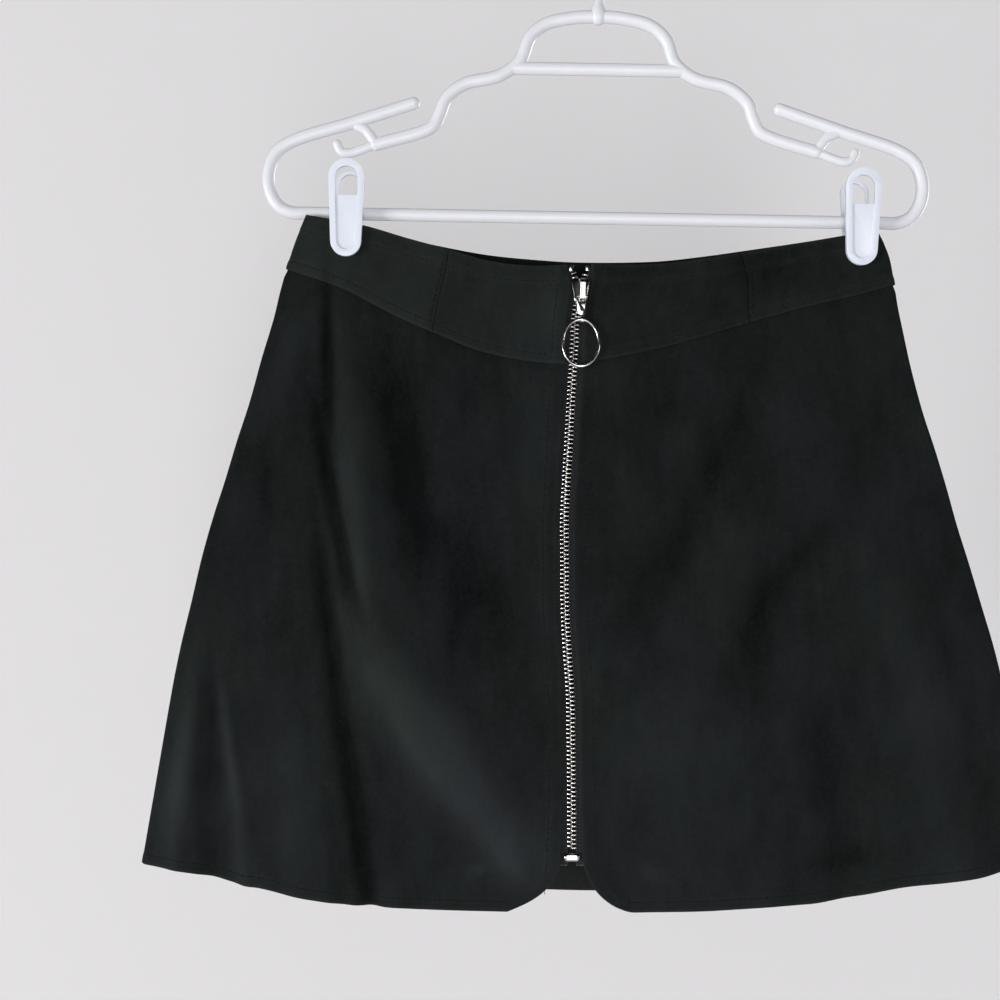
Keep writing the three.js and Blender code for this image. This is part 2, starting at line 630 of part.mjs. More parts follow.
// The pull: a bar in the crown, two legs, a tapered tab with a hole, and an eye for the ring
function pullOutline() {
  const shape = new THREE.Shape();
  const top = PULL.hingeZ + PULL.barRadius;
  const { shoulder, footHalf, footZ } = PULL;
  shape.moveTo(-shoulder, top);
  shape.lineTo(-shoulder - 0.15, PULL.hingeZ - 2);
  shape.lineTo(-footHalf, footZ);
  shape.quadraticCurveTo(0, footZ - 0.8, footHalf, footZ);
  shape.lineTo(shoulder + 0.15, PULL.hingeZ - 2);
  shape.lineTo(shoulder, top);
  return shape;
}
const pullWindow = box(-PULL.legInner, PULL.legInner, -8, 2, PULL.windowEnd, 4);
const pullHole = new THREE.CylinderGeometry(PULL.holeRadius, PULL.holeRadius, 6, 12)
  .translate(0, PULL.y, PULL.holeZ);
const pullPlate = cut(plate(pullOutline(), PULL.y - PULL.thickness / 2,
  PULL.y + PULL.thickness / 2), pullWindow, pullHole);
const pullBar = rodX(PULL.barRadius, 2 * PULL.shoulder - 0.2, PULL.y, PULL.hingeZ);
const eyeNeck = box(-EYE.width / 2, EYE.width / 2, PULL.y - 0.6, PULL.y + 0.6,
  EYE.z + EYE.inner + 0.2, PULL.footZ + 0.6);
const eye = cut(join(rodX(EYE.outer, EYE.width, PULL.y, EYE.z), eyeNeck),
  rodX(EYE.inner, EYE.width + 2, PULL.y, EYE.z));
add(hardware, 'pull_tab', join(pullPlate, pullBar, eye), METAL);

// The ring, a closed oval of round wire
const ringPath = new THREE.CatmullRomCurve3(range(32).slice(0, -1).map((k) => {
  const angle = k * 2 * Math.PI;
  return new THREE.Vector3(RING.halfWidth * Math.sin(angle), PULL.y,
    EYE.z - RING.halfHeight + RING.halfHeight * Math.cos(angle));
}), true);
add(hardware, 'pull_ring', new THREE.ExtrudeGeometry(roundSection(RING.wire, 8), {
  steps: 32, extrudePath: ringPath, bevelEnabled: false,
}), METAL);

// Hanger, drawn upright about its hook and then leaned as it hangs
const hanger = new THREE.Group();
hanger.rotation.y = TILT;
part.add(hanger);

// Half of the inner frame, from the apex under the hook to the upturned strap catch
const ARCH = [
  [0, -64], [16.5, -65], [33.4, -69.4], [42.9, -77.9], [48.6, -92], [61, -101.8],
  [83.5, -107.8], [94.8, -117], [98.7, -127], [102.6, -134.4], [110, -138.4], [138.7, -146.8],
];
const STRAP_CATCH = [[138.7, -146.8], [155.6, -152.6], [160.6, -151.6], [163, -147]];

// One rounded end, from the long bar up round to the free end of the upper arm
const END_LOOP = [
  [184.3, -190.8], [189.5, -190.8], [198, -187.6], [204.2, -179], [206, -166.5],
  [201.6, -153.6], [192, -146],
  [154, -133.4], [115.3, -120.5],
];
const BRANCH = [[151.5, -134.5], [145, -138], [139, -146]];
const GRIP_Z = -97.2;
const GRIP_HALF = 53;
const ARCH_STEPS = 44;
const LOOP_STEPS = 24;
const catchRadius = 2.9;
const mirror = (points) => points.map(([x, z]) => [-x, z]);
const fullArch = [...mirror(ARCH).reverse(), ...ARCH.slice(1)];

const arch = tube(fullArch, TUBE_RADIUS, ARCH_STEPS);
const archRoom = tube(fullArch, TUBE_RADIUS + SEAM_GAP, ARCH_STEPS);
add(hanger, 'hanger_arch', arch, HANGER_PLASTIC);
add(hanger, 'hanger_bar', new THREE.CylinderGeometry(TUBE_RADIUS, TUBE_RADIUS,
  2 * BAR_HALF, 16).rotateZ(Math.PI / 2).translate(0, 0, BAR_Z), HANGER_PLASTIC);
add(hanger, 'hanger_grip', cut(tube([[-GRIP_HALF, GRIP_Z], [0, GRIP_Z], [GRIP_HALF, GRIP_Z]],
  TUBE_RADIUS, 4), archRoom), HANGER_PLASTIC);
for (const [name, way] of [['left', -1], ['right', 1]]) {
  const place = (points) => (way < 0 ? mirror(points) : points);
  const loop = place(END_LOOP);
  add(hanger, `hanger_end_${name}`, tube(loop, TUBE_RADIUS, LOOP_STEPS), HANGER_PLASTIC);
  const loopRoom = tube(loop, TUBE_RADIUS + SEAM_GAP, LOOP_STEPS);
  const catchTube = tube(place(STRAP_CATCH), catchRadius, 8);
  add(hanger, `hanger_catch_${name}`, cut(catchTube, archRoom), HANGER_PLASTIC);
  const catchRoom = tube(place(STRAP_CATCH), catchRadius + SEAM_GAP, 8);
  add(hanger, `hanger_branch_${name}`, cut(tube(place(BRANCH), TUBE_RADIUS - 0.8, 4),
    archRoom, loopRoom, catchRoom), HANGER_PLASTIC);
}

// The hook: a stem off the arch, bent aside and round over the rail
const hookCentre = -HOOK_INNER;
const hookLine = HOOK_INNER + HOOK_RADIUS;
const hookArc = range(12).map((k) => {
  const angle = THREE.MathUtils.degToRad(lerp(-52, 198, k));
  return [hookLine * Math.cos(angle), hookCentre + hookLine * Math.sin(angle)];
});
const hookTube = tube([[0, -66], [0, -56], [3.6, -46], ...hookArc], HOOK_RADIUS, 36);
const stemFlare = new THREE.CylinderGeometry(HOOK_RADIUS, 5.2, 6, 12)
  .rotateX(Math.PI / 2).translate(0, 0, -58.5);
add(hanger, 'hanger_hook', cut(join(hookTube, stemFlare), archRoom), HANGER_PLASTIC);

// Clips: a front jaw, a back jaw bent forward under the bar, and a saddle over the bar
function stadium(inset, zTop, zFoot, topRadius, footRadius) {
  const rt = topRadius - inset;
  const rf = footRadius - inset;
  const shape = new THREE.Shape();
  shape.absarc(0, zTop - topRadius, rt, 0, Math.PI, false);
  shape.absarc(0, zFoot + footRadius, rf, Math.PI, 2 * Math.PI, false);
  return shape;
}

const clipFoot = CLIP.top - CLIP.height;
const pinch = CLOTH_PLANE_Y;
const frontFace = pinch - CLIP.jawGap;
const backFace = pinch + CLIP.jawGap;
const windowFoot = CLIP.top - CLIP.windowBottom;

// The window between a clip's arms, with an arched top and a flat foot
function windowOutline() {
  const { windowHalf: half, corner } = CLIP;
  const shape = new THREE.Shape();
  shape.moveTo(-half, windowFoot + corner);
  shape.quadraticCurveTo(-half, windowFoot, -half + corner, windowFoot);
  shape.lineTo(half - corner, windowFoot);
  shape.quadraticCurveTo(half, windowFoot, half, windowFoot + corner);
  shape.absarc(0, CLIP.top - CLIP.windowTop - half, half, 0, Math.PI, false);
  return shape;
}

// The shallow trough below the window, with a round foot
function troughOutline() {
  const shape = new THREE.Shape();
  shape.moveTo(CLIP.windowHalf, windowFoot + CLIP.corner);
  shape.lineTo(-CLIP.windowHalf, windowFoot + CLIP.corner);
  shape.absarc(0, clipFoot + CLIP.troughFoot + CLIP.troughRadius, CLIP.troughRadius,
    Math.PI, 2 * Math.PI, false);
  return shape;
}

const windowCut = plate(windowOutline(), -40, 40, 5);

function jaw(points, inset) {
  const outline = stadium(inset, CLIP.top, clipFoot, CLIP.topRadius, CLIP.footRadius);
  const body = intersect(profile(points, 30), plate(outline, -40, 40, 7));
  return cut(body, windowCut);
}

const FRONT_LEAN = 3.2;
const frontFoot = frontFace - CLIP.jawWall;
const frontTop = frontFoot - FRONT_LEAN;
const troughCut = intersect(plate(troughOutline(), -40, 0, 5), profile([
  [-40, clipFoot - 1], [frontFoot + CLIP.troughDepth, clipFoot - 1],
  [frontTop + CLIP.troughDepth, CLIP.top + 1], [-40, CLIP.top + 1],
], 30));
const frontJaw = cut(jaw([
  [frontFace, clipFoot - 1], [frontFace, -14], [frontFace - FRONT_LEAN, CLIP.top + 1],
  [frontTop, CLIP.top + 1], [frontFoot, clipFoot - 1],
], 0), troughCut);
const BACK_CLEAR = TUBE_RADIUS + 1.6;
const backJaw = jaw([
  [backFace, clipFoot - 1], [backFace, -9.5], [BACK_CLEAR, -4], [BACK_CLEAR + 0.6, 6],
  [BACK_CLEAR + 4, CLIP.top + 1], [BACK_CLEAR + 4 + CLIP.jawWall, CLIP.top + 1],
  [BACK_CLEAR + CLIP.jawWall, 4], [BACK_CLEAR + CLIP.jawWall - 0.4, -6],
  [backFace + CLIP.jawWall, -13.5], [backFace + CLIP.jawWall, clipFoot - 1],
], CLIP.backInset);
const saddle = (() => {
  const front = frontFace - 0.55;
  const room = TUBE_RADIUS + SEAM_GAP;
  const points = [[front, -1.5], [front, 7], [BACK_CLEAR - SEAM_GAP, 7],
    [BACK_CLEAR - SEAM_GAP, -3.6], [room, -3.6]];
  for (const k of range(8)) {
    const angle = k * Math.PI;
    points.push([room * Math.cos(angle), room * Math.sin(angle)]);
  }
  points.push([-room, -1.5]);
  return profile(points, CLIP.sleeveHalf * 2);
})();

for (const { side, x } of CLIPS) {
  for (const [name, geometry] of [['front_jaw', frontJaw], ['back_jaw', backJaw],
    ['saddle', saddle]]) {
    add(hanger, `clip_${side}_${name}`, geometry.clone(), CLIP_PLASTIC)
      .position.set(x, 0, BAR_Z);
  }
}

export default part;
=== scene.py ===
"""A suede mini skirt on a clip hanger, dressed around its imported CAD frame.

Lengths are millimetres in the row frame until a mesh is made: X to the right, Y away from the camera, Z up.
"""

import json
import logging
import math
from dataclasses import dataclass, field
from enum import Enum
from typing import Any, Callable, Optional, Sequence

import bmesh
import bpy
import numpy as np
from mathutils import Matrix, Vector

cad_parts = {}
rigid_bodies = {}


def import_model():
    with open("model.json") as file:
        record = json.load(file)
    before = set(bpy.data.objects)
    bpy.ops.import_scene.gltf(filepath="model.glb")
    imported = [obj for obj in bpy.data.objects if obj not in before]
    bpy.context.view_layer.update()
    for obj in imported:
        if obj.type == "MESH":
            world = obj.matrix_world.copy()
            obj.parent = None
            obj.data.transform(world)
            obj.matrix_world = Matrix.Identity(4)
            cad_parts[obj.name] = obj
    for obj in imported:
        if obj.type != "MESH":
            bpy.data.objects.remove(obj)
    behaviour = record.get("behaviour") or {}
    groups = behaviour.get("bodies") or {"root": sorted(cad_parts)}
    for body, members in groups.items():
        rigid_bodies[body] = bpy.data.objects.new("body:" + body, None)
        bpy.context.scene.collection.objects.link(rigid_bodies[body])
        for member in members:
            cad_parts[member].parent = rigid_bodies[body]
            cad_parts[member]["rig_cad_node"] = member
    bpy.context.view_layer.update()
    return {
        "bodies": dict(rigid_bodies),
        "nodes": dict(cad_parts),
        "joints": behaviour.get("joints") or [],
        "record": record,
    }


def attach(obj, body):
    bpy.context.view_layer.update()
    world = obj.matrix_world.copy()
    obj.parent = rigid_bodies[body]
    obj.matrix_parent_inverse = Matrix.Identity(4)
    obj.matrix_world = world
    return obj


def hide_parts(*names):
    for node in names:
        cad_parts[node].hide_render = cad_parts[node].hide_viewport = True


LOG = logging.getLogger("skirt")
Array = np.ndarray
Spread = Callable[[Array], Array]
MM = 0.001


# Small sums on whole arrays


def lerp(a: Any, b: Any, k: Any) -> Any:
    """The value k of the way from a to b."""
    return a + (b - a) * k


def smooth(a: float, b: float, x: Any) -> Any:
    """Nought below a and one above b, with an S shaped rise between: 3k squared less 2k cubed."""
    k = np.clip((x - a) / (b - a), 0.0, 1.0)
    return k * k * (3.0 - 2.0 * k)


def bump(x: Any, middle: float, width: float) -> Any:
    """A bell one high at middle: e to the minus square of the distance over width."""
    return np.exp(-(((x - middle) / width) ** 2))


def unit(v: Array) -> Array:
    """The vectors v, each one long."""
    return v / np.maximum(np.linalg.norm(v, axis=-1, keepdims=True), 1e-12)


@dataclass(frozen=True)
class Line:
    """A smooth line through a table's points.

    Between two points it is the cubic that meets both, with the slope at each point taken from
    its two neighbours, and outside the table it keeps the end value.
    """

    places: tuple[float, ...]
    values: tuple[float, ...]

    def __call__(self, where: Any) -> Array:
        """The line's value at each place."""
        xs, ys = np.array(self.places), np.array(self.values)
        low = np.maximum(np.arange(len(xs)) - 1, 0)
        high = np.minimum(np.arange(len(xs)) + 1, len(xs) - 1)
        slope = (ys[high] - ys[low]) / (xs[high] - xs[low])
        x = np.clip(where, xs[0], xs[-1])
        i = np.clip(np.searchsorted(xs, x, side="right") - 1, 0, len(xs) - 2)
        h = xs[i + 1] - xs[i]
        u = (x - xs[i]) / h
        rise = (2 * u - 3) * u * u
        near = ys[i] * (1 + rise) - ys[i + 1] * rise
        return near + h * u * (1 - u) * (slope[i] * (1 - u) - slope[i + 1] * u)


def columns(rows: Sequence[Sequence[float]]) -> list[Line]:
    """One line for each column of a table after its first, which holds the places."""
    table = list(zip(*rows))
    return [Line(tuple(table[0]), tuple(values)) for values in table[1:]]


# Meshes from grids of points


@dataclass
class Shape:
    """Points in millimetres with the four sided and three sided faces between them."""

    points: Array
    quads: Array
    triangles: Array = field(default_factory=lambda: np.zeros((0, 3), int))

    def volume(self) -> float:
        """Six times the enclosed volume: the sum of each triangle's triple product."""
        q, t = self.quads, self.triangles
        faces = np.vstack([q[:, [0, 1, 2]], q[:, [0, 2, 3]], t]).astype(int)
        a, b, c = (self.points[faces[:, k]] for k in range(3))
        return float((a * np.cross(b, c)).sum())

    def outwards(self) -> "Shape":
        """The same shape with its faces pointing out."""
        if self.volume() >= 0:
            return self
        return Shape(self.points, self.quads[:, ::-1], self.triangles[:, ::-1])


def together(shapes: Sequence[Shape]) -> Shape:
    """Several shapes as one."""
    starts = np.cumsum([0] + [len(s.points) for s in shapes[:-1]])
    return Shape(
        np.vstack([s.points for s in shapes]),
        np.vstack([s.quads + k for s, k in zip(shapes, starts)]),
        np.vstack([s.triangles + k for s, k in zip(shapes, starts)]),
    )


def loft(rings: Array) -> Shape:
    """Closed skins through rings of points, each end drawn to a pole at its ring's middle.

    Args:
        rings: copies by rings by points round by 3; a plain stack of rings is one copy.

    Returns:
        The skins as one shape. Point j of ring i is joined to point j of ring i + 1.
    """
    rings = rings if rings.ndim == 4 else rings[None]
    copies, n, m, _ = rings.shape
    first, last = rings[:, 0].mean(1), rings[:, -1].mean(1)
    points = np.concatenate([rings.reshape(copies, n * m, 3), first[:, None], last[:, None]], 1)
    i, j = np.meshgrid(np.arange(n - 1), np.arange(m), indexing="ij")
    k = (j + 1) % m
    quads = np.stack([i * m + j, i * m + k, (i + 1) * m + k, (i + 1) * m + j], -1).reshape(-1, 4)
    around = np.arange(m)
    after = (around + 1) % m
    near = np.stack([np.full(m, n * m), after, around], -1)
    far = np.stack([np.full(m, n * m + 1), (n - 1) * m + around, (n - 1) * m + after], -1)
    step = (np.arange(copies) * (n * m + 2))[:, None, None]
    return Shape(
        points.reshape(-1, 3),
        (quads[None] + step).reshape(-1, 4),
        (np.vstack([near, far])[None] + step).reshape(-1, 3),
    ).outwards()


def wrap(rings: Array) -> Shape:
    """A closed skin through rings that come back to the first, as round a hoop."""
    n, m, _ = rings.shape
    i, j = np.meshgrid(np.arange(n), np.arange(m), indexing="ij")
    e, k = (i + 1) % n, (j + 1) % m
    quads = np.stack([i * m + j, i * m + k, e * m + k, e * m + j], -1).reshape(-1, 4)
    return Shape(rings.reshape(-1, 3), quads).outwards()


def wall(outer: Array, inner: Array) -> Shape:
    """A thin closed wall of two grids of points that share their border."""
    rows, cols, _ = outer.shape
    front = np.arange(rows * cols).reshape(rows, cols)
    back = front.copy()
    back[1:-1, 1:-1] = rows * cols + np.arange((rows - 2) * (cols - 2)).reshape(rows - 2, cols - 2)
    points = np.vstack([outer.reshape(-1, 3), inner[1:-1, 1:-1].reshape(-1, 3)])

    def faces(grid: Array) -> Array:
        """The grid's quads, each from its four neighbours."""
        return np.stack([grid[:-1, :-1], grid[:-1, 1:], grid[1:, 1:], grid[1:, :-1]], -1).reshape(-1, 4)

    return Shape(points, np.vstack([faces(front), faces(back)[:, ::-1]])).outwards()


def along_path(points: Sequence[Sequence[float]], step: float) -> Array:
    """A smooth path in X and Z through points, resampled evenly.

    Each stretch is the centripetal Catmull-Rom cubic: knots apart by the root of the distance.

    Args:
        points: places as (x, z).
        step: the distance between the path's points.

    Returns:
        The path's points, each (x, y, z) with y nought.
    """
    given = np.array([(x, 0.0, z) for x, z in points])
    p = np.vstack([2 * given[0] - given[1], given, 2 * given[-1] - given[-2]])
    gap = np.linalg.norm(np.diff(p, axis=0), axis=1, keepdims=True) ** 0.5
    a, b, c = gap[:-2], gap[1:-1], gap[2:]
    p0, p1, p2, p3 = p[:-3], p[1:-2], p[2:-1], p[3:]
    leave = ((p1 - p0) / a - (p2 - p0) / (a + b) + (p2 - p1) / b) * b
    reach = ((p2 - p1) / b - (p3 - p1) / (b + c) + (p3 - p2) / c) * b
    u = np.linspace(0, 1, 24)[None, :, None]
    p1, p2, leave, reach = (v[:, None] for v in (p1, p2, leave, reach))
    body = (2 * u**3 - 3 * u**2 + 1) * p1 + (3 * u**2 - 2 * u**3) * p2
    body = body + (u**3 - 2 * u**2 + u) * leave + (u**3 - u**2) * reach
    dense = body.reshape(-1, 3)
    dense = dense[np.r_[True, np.linalg.norm(np.diff(dense, axis=0), axis=1) > 1e-6]]
    return evenly(dense, step)


def evenly(path: Array, step: float) -> Array:
    """The same path with its points about step apart."""
    run = np.r_[0, np.cumsum(np.linalg.norm(np.diff(path, axis=0), axis=1))]
    where = np.linspace(0, run[-1], max(2, int(round(run[-1] / step)) + 1))
    return np.stack([np.interp(where, run, path[:, k]) for k in range(3)], -1)


def rod(path: Array, radius: Any, sides: int = 28) -> Array:
    """Rings of a round rod along a path in a plane of constant Y, its ends rounded like domes.

    A ring is centre plus radius times (cos a times the in-plane normal plus sin a times Y); on a
    dome the radius falls as cos e while the centre moves on by sin e.
    """
    tangent = unit(np.gradient(path, axis=0))
    size = np.broadcast_to(np.asarray(radius, float), (len(path),)).copy()
    e = np.linspace(0, np.pi / 2, 7)[1:-1]
    lead = path[0] - tangent[0] * (size[0] * np.sin(e[::-1]))[:, None]
    tail = path[-1] + tangent[-1] * (size[-1] * np.sin(e))[:, None]
    path = np.vstack([lead, path, tail])
    tangent = np.vstack([np.repeat(tangent[:1], 5, 0), tangent, np.repeat(tangent[-1:], 5, 0)])
    size = np.r_[size[0] * np.cos(e[::-1]), size, size[-1] * np.cos(e)]
    normal = np.stack([-tangent[:, 2], np.zeros(len(path)), tangent[:, 0]], -1)
    a = np.linspace(0, 2 * np.pi, sides, endpoint=False)
    ring = normal[:, None] * np.cos(a)[:, None] + np.array([0.0, 1.0, 0.0]) * np.sin(a)[:, None]
    return path[:, None] + size[:, None, None] * ring


# Node trees


class Signal:
    """One output of a material's nodes, used in sums like a number."""

    def __init__(self, tree: Any, socket: Any) -> None:
        """Keeps the node tree and the socket."""
        self.tree = tree
        self.socket = socket

    def sum_with(self, operation: str, first: Any, second: Any) -> "Signal":
        """A Math node of the operation on two values."""
        node = self.tree.nodes.new("ShaderNodeMath")
        node.operation = operation
        for socket, value in zip(node.inputs, (first, second)):
            if isinstance(value, Signal):
                self.tree.links.new(value.socket, socket)
            else:
                socket.default_value = value
        return Signal(self.tree, node.outputs[0])

    def __add__(self, other: Any) -> "Signal":
        """This plus other."""
        return self.sum_with("ADD", self, other)

    def __radd__(self, other: Any) -> "Signal":
        """Other plus this."""
        return self.sum_with("ADD", other, self)

    def __sub__(self, other: Any) -> "Signal":
        """This less other."""
        return self.sum_with("SUBTRACT", self, other)

    def __rsub__(self, other: Any) -> "Signal":
        """Other less this."""
        return self.sum_with("SUBTRACT", other, self)

    def __mul__(self, other: Any) -> "Signal":
        """This times other."""
        return self.sum_with("MULTIPLY", self, other)

    def __rmul__(self, other: Any) -> "Signal":
        """Other times this."""
        return self.sum_with("MULTIPLY", other, self)

    def clamped(self) -> "Signal":
        """This kept from nought to one."""
        out = self.sum_with("ADD", self, 0.0)
        out.socket.node.use_clamp = True
        return out


class Recipe:
    """A material under construction: its shader and a short way to add nodes."""

    def __init__(self, name: str) -> None:
        """Starts a material with one Principled shader."""
        self.material = bpy.data.materials.new(name)
        self.material.use_nodes = True
        self.tree = self.material.node_tree
        self.shader = self.tree.nodes["Principled BSDF"]

    def node(self, kind: str, inputs: dict[Any, Any], output: Any = 0, **settings: Any) -> Signal:
        """Adds a node.

        Args:
            kind: the node's type after ShaderNode.
            inputs: values or signals by the name or number of the socket.
            output: the name or number of the output to hand back.
            settings: the node's own options.

        Returns:
            The chosen output.
        """
        node = self.tree.nodes.new("ShaderNode" + kind)
        for key, value in settings.items():
            setattr(node, key, value)
        for key, value in inputs.items():
            if isinstance(value, Signal):
                self.tree.links.new(value.socket, node.inputs[key])
            else:
                node.inputs[key].default_value = value
        return Signal(self.tree, node.outputs[output])

    def place(self) -> Signal:
        """The place on the piece, in metres."""
        return self.node("TexCoord", {}, "Object")

    def cut_place(self) -> Signal:
        """The place on the piece's own cut, from its UV map."""
        return self.node("UVMap", {}, "UV", uv_map="cut")

    def mark(self, name: str) -> Signal:
        """A number that the piece's points carry under that name."""
        return self.node("Attribute", {}, "Fac", attribute_name=name)

    def noise(self, where: Signal, scale: float, detail: float = 3.0, rough: float = 0.55) -> Signal:
        """Soft noise, about one over scale metres from blob to blob."""
        values = {"Vector": where, "Scale": scale, "Detail": detail, "Roughness": rough}
        return self.node("TexNoise", values)

    def stretched(self, where: Signal, scale: Sequence[float], turn: float = 0.0) -> Signal:
        """The place scaled by each axis, after a turn about Y in degrees."""
        angle = (0.0, math.radians(turn), 0.0)
        return self.node("Mapping", {"Vector": where, "Scale": tuple(scale), "Rotation": angle})

    def blend(self, k: Any, low: Sequence[float], high: Sequence[float]) -> Signal:
        """A colour between two, by k."""
        values = {0: k, 6: (*low, 1.0), 7: (*high, 1.0)}
        return self.node("Mix", values, 2, data_type="RGBA")

    def shades(self, k: Any, colour: Sequence[float], low: float, high: float = 1.0) -> Signal:
        """A colour between two shades of one, by k: low and high times as bright."""
        return self.blend(k, tuple(c * low for c in colour), tuple(c * high for c in colour))

    def set(self, **values: Any) -> None:
        """Sets the shader's sockets, whose names are given with underscores for spaces."""
        for key, value in values.items():
            socket = self.shader.inputs[key.replace("_", " ")]
            if isinstance(value, Signal):
                self.tree.links.new(value.socket, socket)
            elif isinstance(value, (tuple, list)):
                socket.default_value = (*value, 1.0)
            else:
                socket.default_value = value

    def relief(self, height: Signal, depth: float, strength: float = 1.0) -> None:
        """Bends the shader's normal by a height from nought to one, depth millimetres deep."""
        values = {"Height": height, "Distance": depth * MM, "Strength": strength}
        self.set(Normal=self.node("Bump", values, "Normal"))


@dataclass(frozen=True)
class Suede:
    """Near-black brushed suede: a short nap that catches light, darker where it lies flat, with painted
    shade in the fold troughs and painted highlight on the ridges.
    """

    name: str = "suede"
    green_dark: tuple[float, float, float] = (0.0014, 0.0024, 0.0019)
    green_light: tuple[float, float, float] = (0.0222, 0.0276, 0.0252)
    blue_dark: tuple[float, float, float] = (0.0016, 0.0021, 0.0026)
    blue_light: tuple[float, float, float] = (0.0224, 0.0258, 0.0282)
    # The pale of rubbed edges, also the colour of the painted light on the inside faces near the hem
    worn: tuple[float, float, float] = (0.034, 0.038, 0.035)
    sheen: float = 0.05

    def make(self) -> Any:
        """Patches of nap, drawn out down the skirt, over a fine short fibre.

        The black leans to green near the waist and to blue near the hem, and is a little paler there.
        """
        r = Recipe(self.name)
        where = r.place()
        patches = r.noise(r.stretched(where, (1.0, 1.0, 0.55), 8.0), 21.0, 4.0, 0.62)
        strokes = r.noise(r.stretched(where, (1.0, 1.0, 0.4), 12.0), 85.0, 4.0, 0.62)
        fibre = r.noise(where, 1500.0, 3.0, 0.7)
        pores = r.noise(where, 420.0, 4.0, 0.65)
        cast = r.noise(r.stretched(where, (1.0, 1.0, 0.6)), 16.0, 3.0)
        low = 0.0 - r.node("SeparateXYZ", {"Vector": where}, "Z") - 0.4
        mottle = (patches - 0.5) * 0.56 + (strokes - 0.5) * 0.38 + (pores - 0.5) * 0.4
        # The points' mark: brushed nap patches, painted shade in the fold troughs and down the deep left
        # crease, and painted highlight on the ridges
        nap_and_painted_fold_shade = r.mark("nap_and_painted_fold_shade")
        tone = nap_and_painted_fold_shade * 0.42 + nap_and_painted_fold_shade * nap_and_painted_fold_shade * 0.13 + mottle + low * 0.38 + 0.312
        green = r.blend(tone.clamped(), self.green_dark, self.green_light)
        blue = r.blend(tone.clamped(), self.blue_dark, self.blue_light)
        hue = ((cast - 0.5) * 3.2 + low * 1.7 + 0.5).clamped()
        base = r.node("Mix", {0: hue, 6: green, 7: blue}, 2, data_type="RGBA")
        # The wear mark: real edge wear outside, and painted light on the inside faces near the hem
        worn = (r.mark("wear") * (0.35 + pores * 1.1)).clamped()
        values = {0: worn, 6: base, 7: (*self.worn, 1.0)}
        colour = r.node("Mix", values, 2, data_type="RGBA")
        r.set(Base_Color=colour, Roughness=0.95, Specular_IOR_Level=0.12)
        r.set(Sheen_Weight=self.sheen, Sheen_Roughness=0.38, Sheen_Tint=(0.72, 0.80, 0.80))
        r.relief(fibre * 0.5 + pores * 0.5, 0.24, 0.7)
        return r.material


@dataclass(frozen=True)
class Weave:
    """The zip's dark woven tape: a herringbone of fine ribs."""

    name: str = "zip_tape"
    colour: tuple[float, float, float] = (0.010, 0.011, 0.012)
    rib: float = 1.05

    def make(self) -> Any:
        """Ribs across the tape, from a wave along its length."""
        r = Recipe(self.name)
        cut = r.cut_place()
        values = {"Vector": cut, "Scale": 1.0 / (self.rib * MM * 2 * math.pi), "Distortion": 0.3}
        wave = r.node("TexWave", values, "Fac", wave_type="BANDS", bands_direction="Y")
        mottle = r.noise(cut, 900.0, 2.0)
        tone = (wave * 0.6 + mottle * 0.4).clamped()
        r.set(Base_Color=r.shades(tone, self.colour, 0.6, 1.9))
        r.set(Roughness=0.82, Specular_IOR_Level=0.3, Sheen_Weight=0.15, Sheen_Roughness=0.5)
        r.relief(wave, 0.18)
        return r.material


@dataclass(frozen=True)
class Thread:
    """Dark polyester sewing thread with a faint twist."""

    name: str = "sewing_thread"
    colour: tuple[float, float, float] = (0.0046, 0.0052, 0.0051)

    def make(self) -> Any:
        """A twist from fine stretched noise."""
        r = Recipe(self.name)
        twist = r.noise(r.stretched(r.place(), (1.0, 1.0, 1.0), 35.0), 2600.0, 2.0)
        r.set(Base_Color=r.shades(twist, self.colour, 0.7, 1.6))
        r.set(Roughness=0.7, Specular_IOR_Level=0.18)
        r.relief(twist, 0.08)
        return r.material


@dataclass(frozen=True)
class Nickel:
    """Bright nickel plate with the faint cloud and scuffs of a used zip."""

    name: str
    colour: tuple[float, float, float] = (0.74, 0.73, 0.715)
    rough: float = 0.17

    def make(self) -> Any:
        """A polished metal whose roughness drifts a little."""
        r = Recipe(self.name)
        where = r.place()
        cloud = r.noise(where, 320.0, 3.0)
        scuff = r.noise(r.stretched(where, (1.0, 1.0, 0.2)), 2400.0, 3.0)
        r.set(Base_Color=r.shades(cloud, self.colour, 0.82), Metallic=1.0)
        r.set(Roughness=(self.rough * 0.6 + cloud * self.rough * 0.5 + scuff * self.rough * 0.4).clamped())
        r.relief(scuff, 0.012, 0.5)
        return r.material


@dataclass(frozen=True)
class Plastic:
    """White moulded plastic with a soft gloss and a faint moulding texture."""

    name: str
    colour: tuple[float, float, float]
    rough: float = 0.34

    def make(self) -> Any:
        """A pale, slightly uneven gloss."""
        r = Recipe(self.name)
        where = r.place()
        cloud = r.noise(where, 60.0, 3.0)
        grain = r.noise(where, 700.0, 3.0)
        r.set(Base_Color=r.shades(cloud, self.colour, 0.955))
        r.set(Roughness=(self.rough - 0.07 + grain * 0.14).clamped(), Specular_IOR_Level=0.5)
        r.relief(grain, 0.035, 0.5)
        return r.material


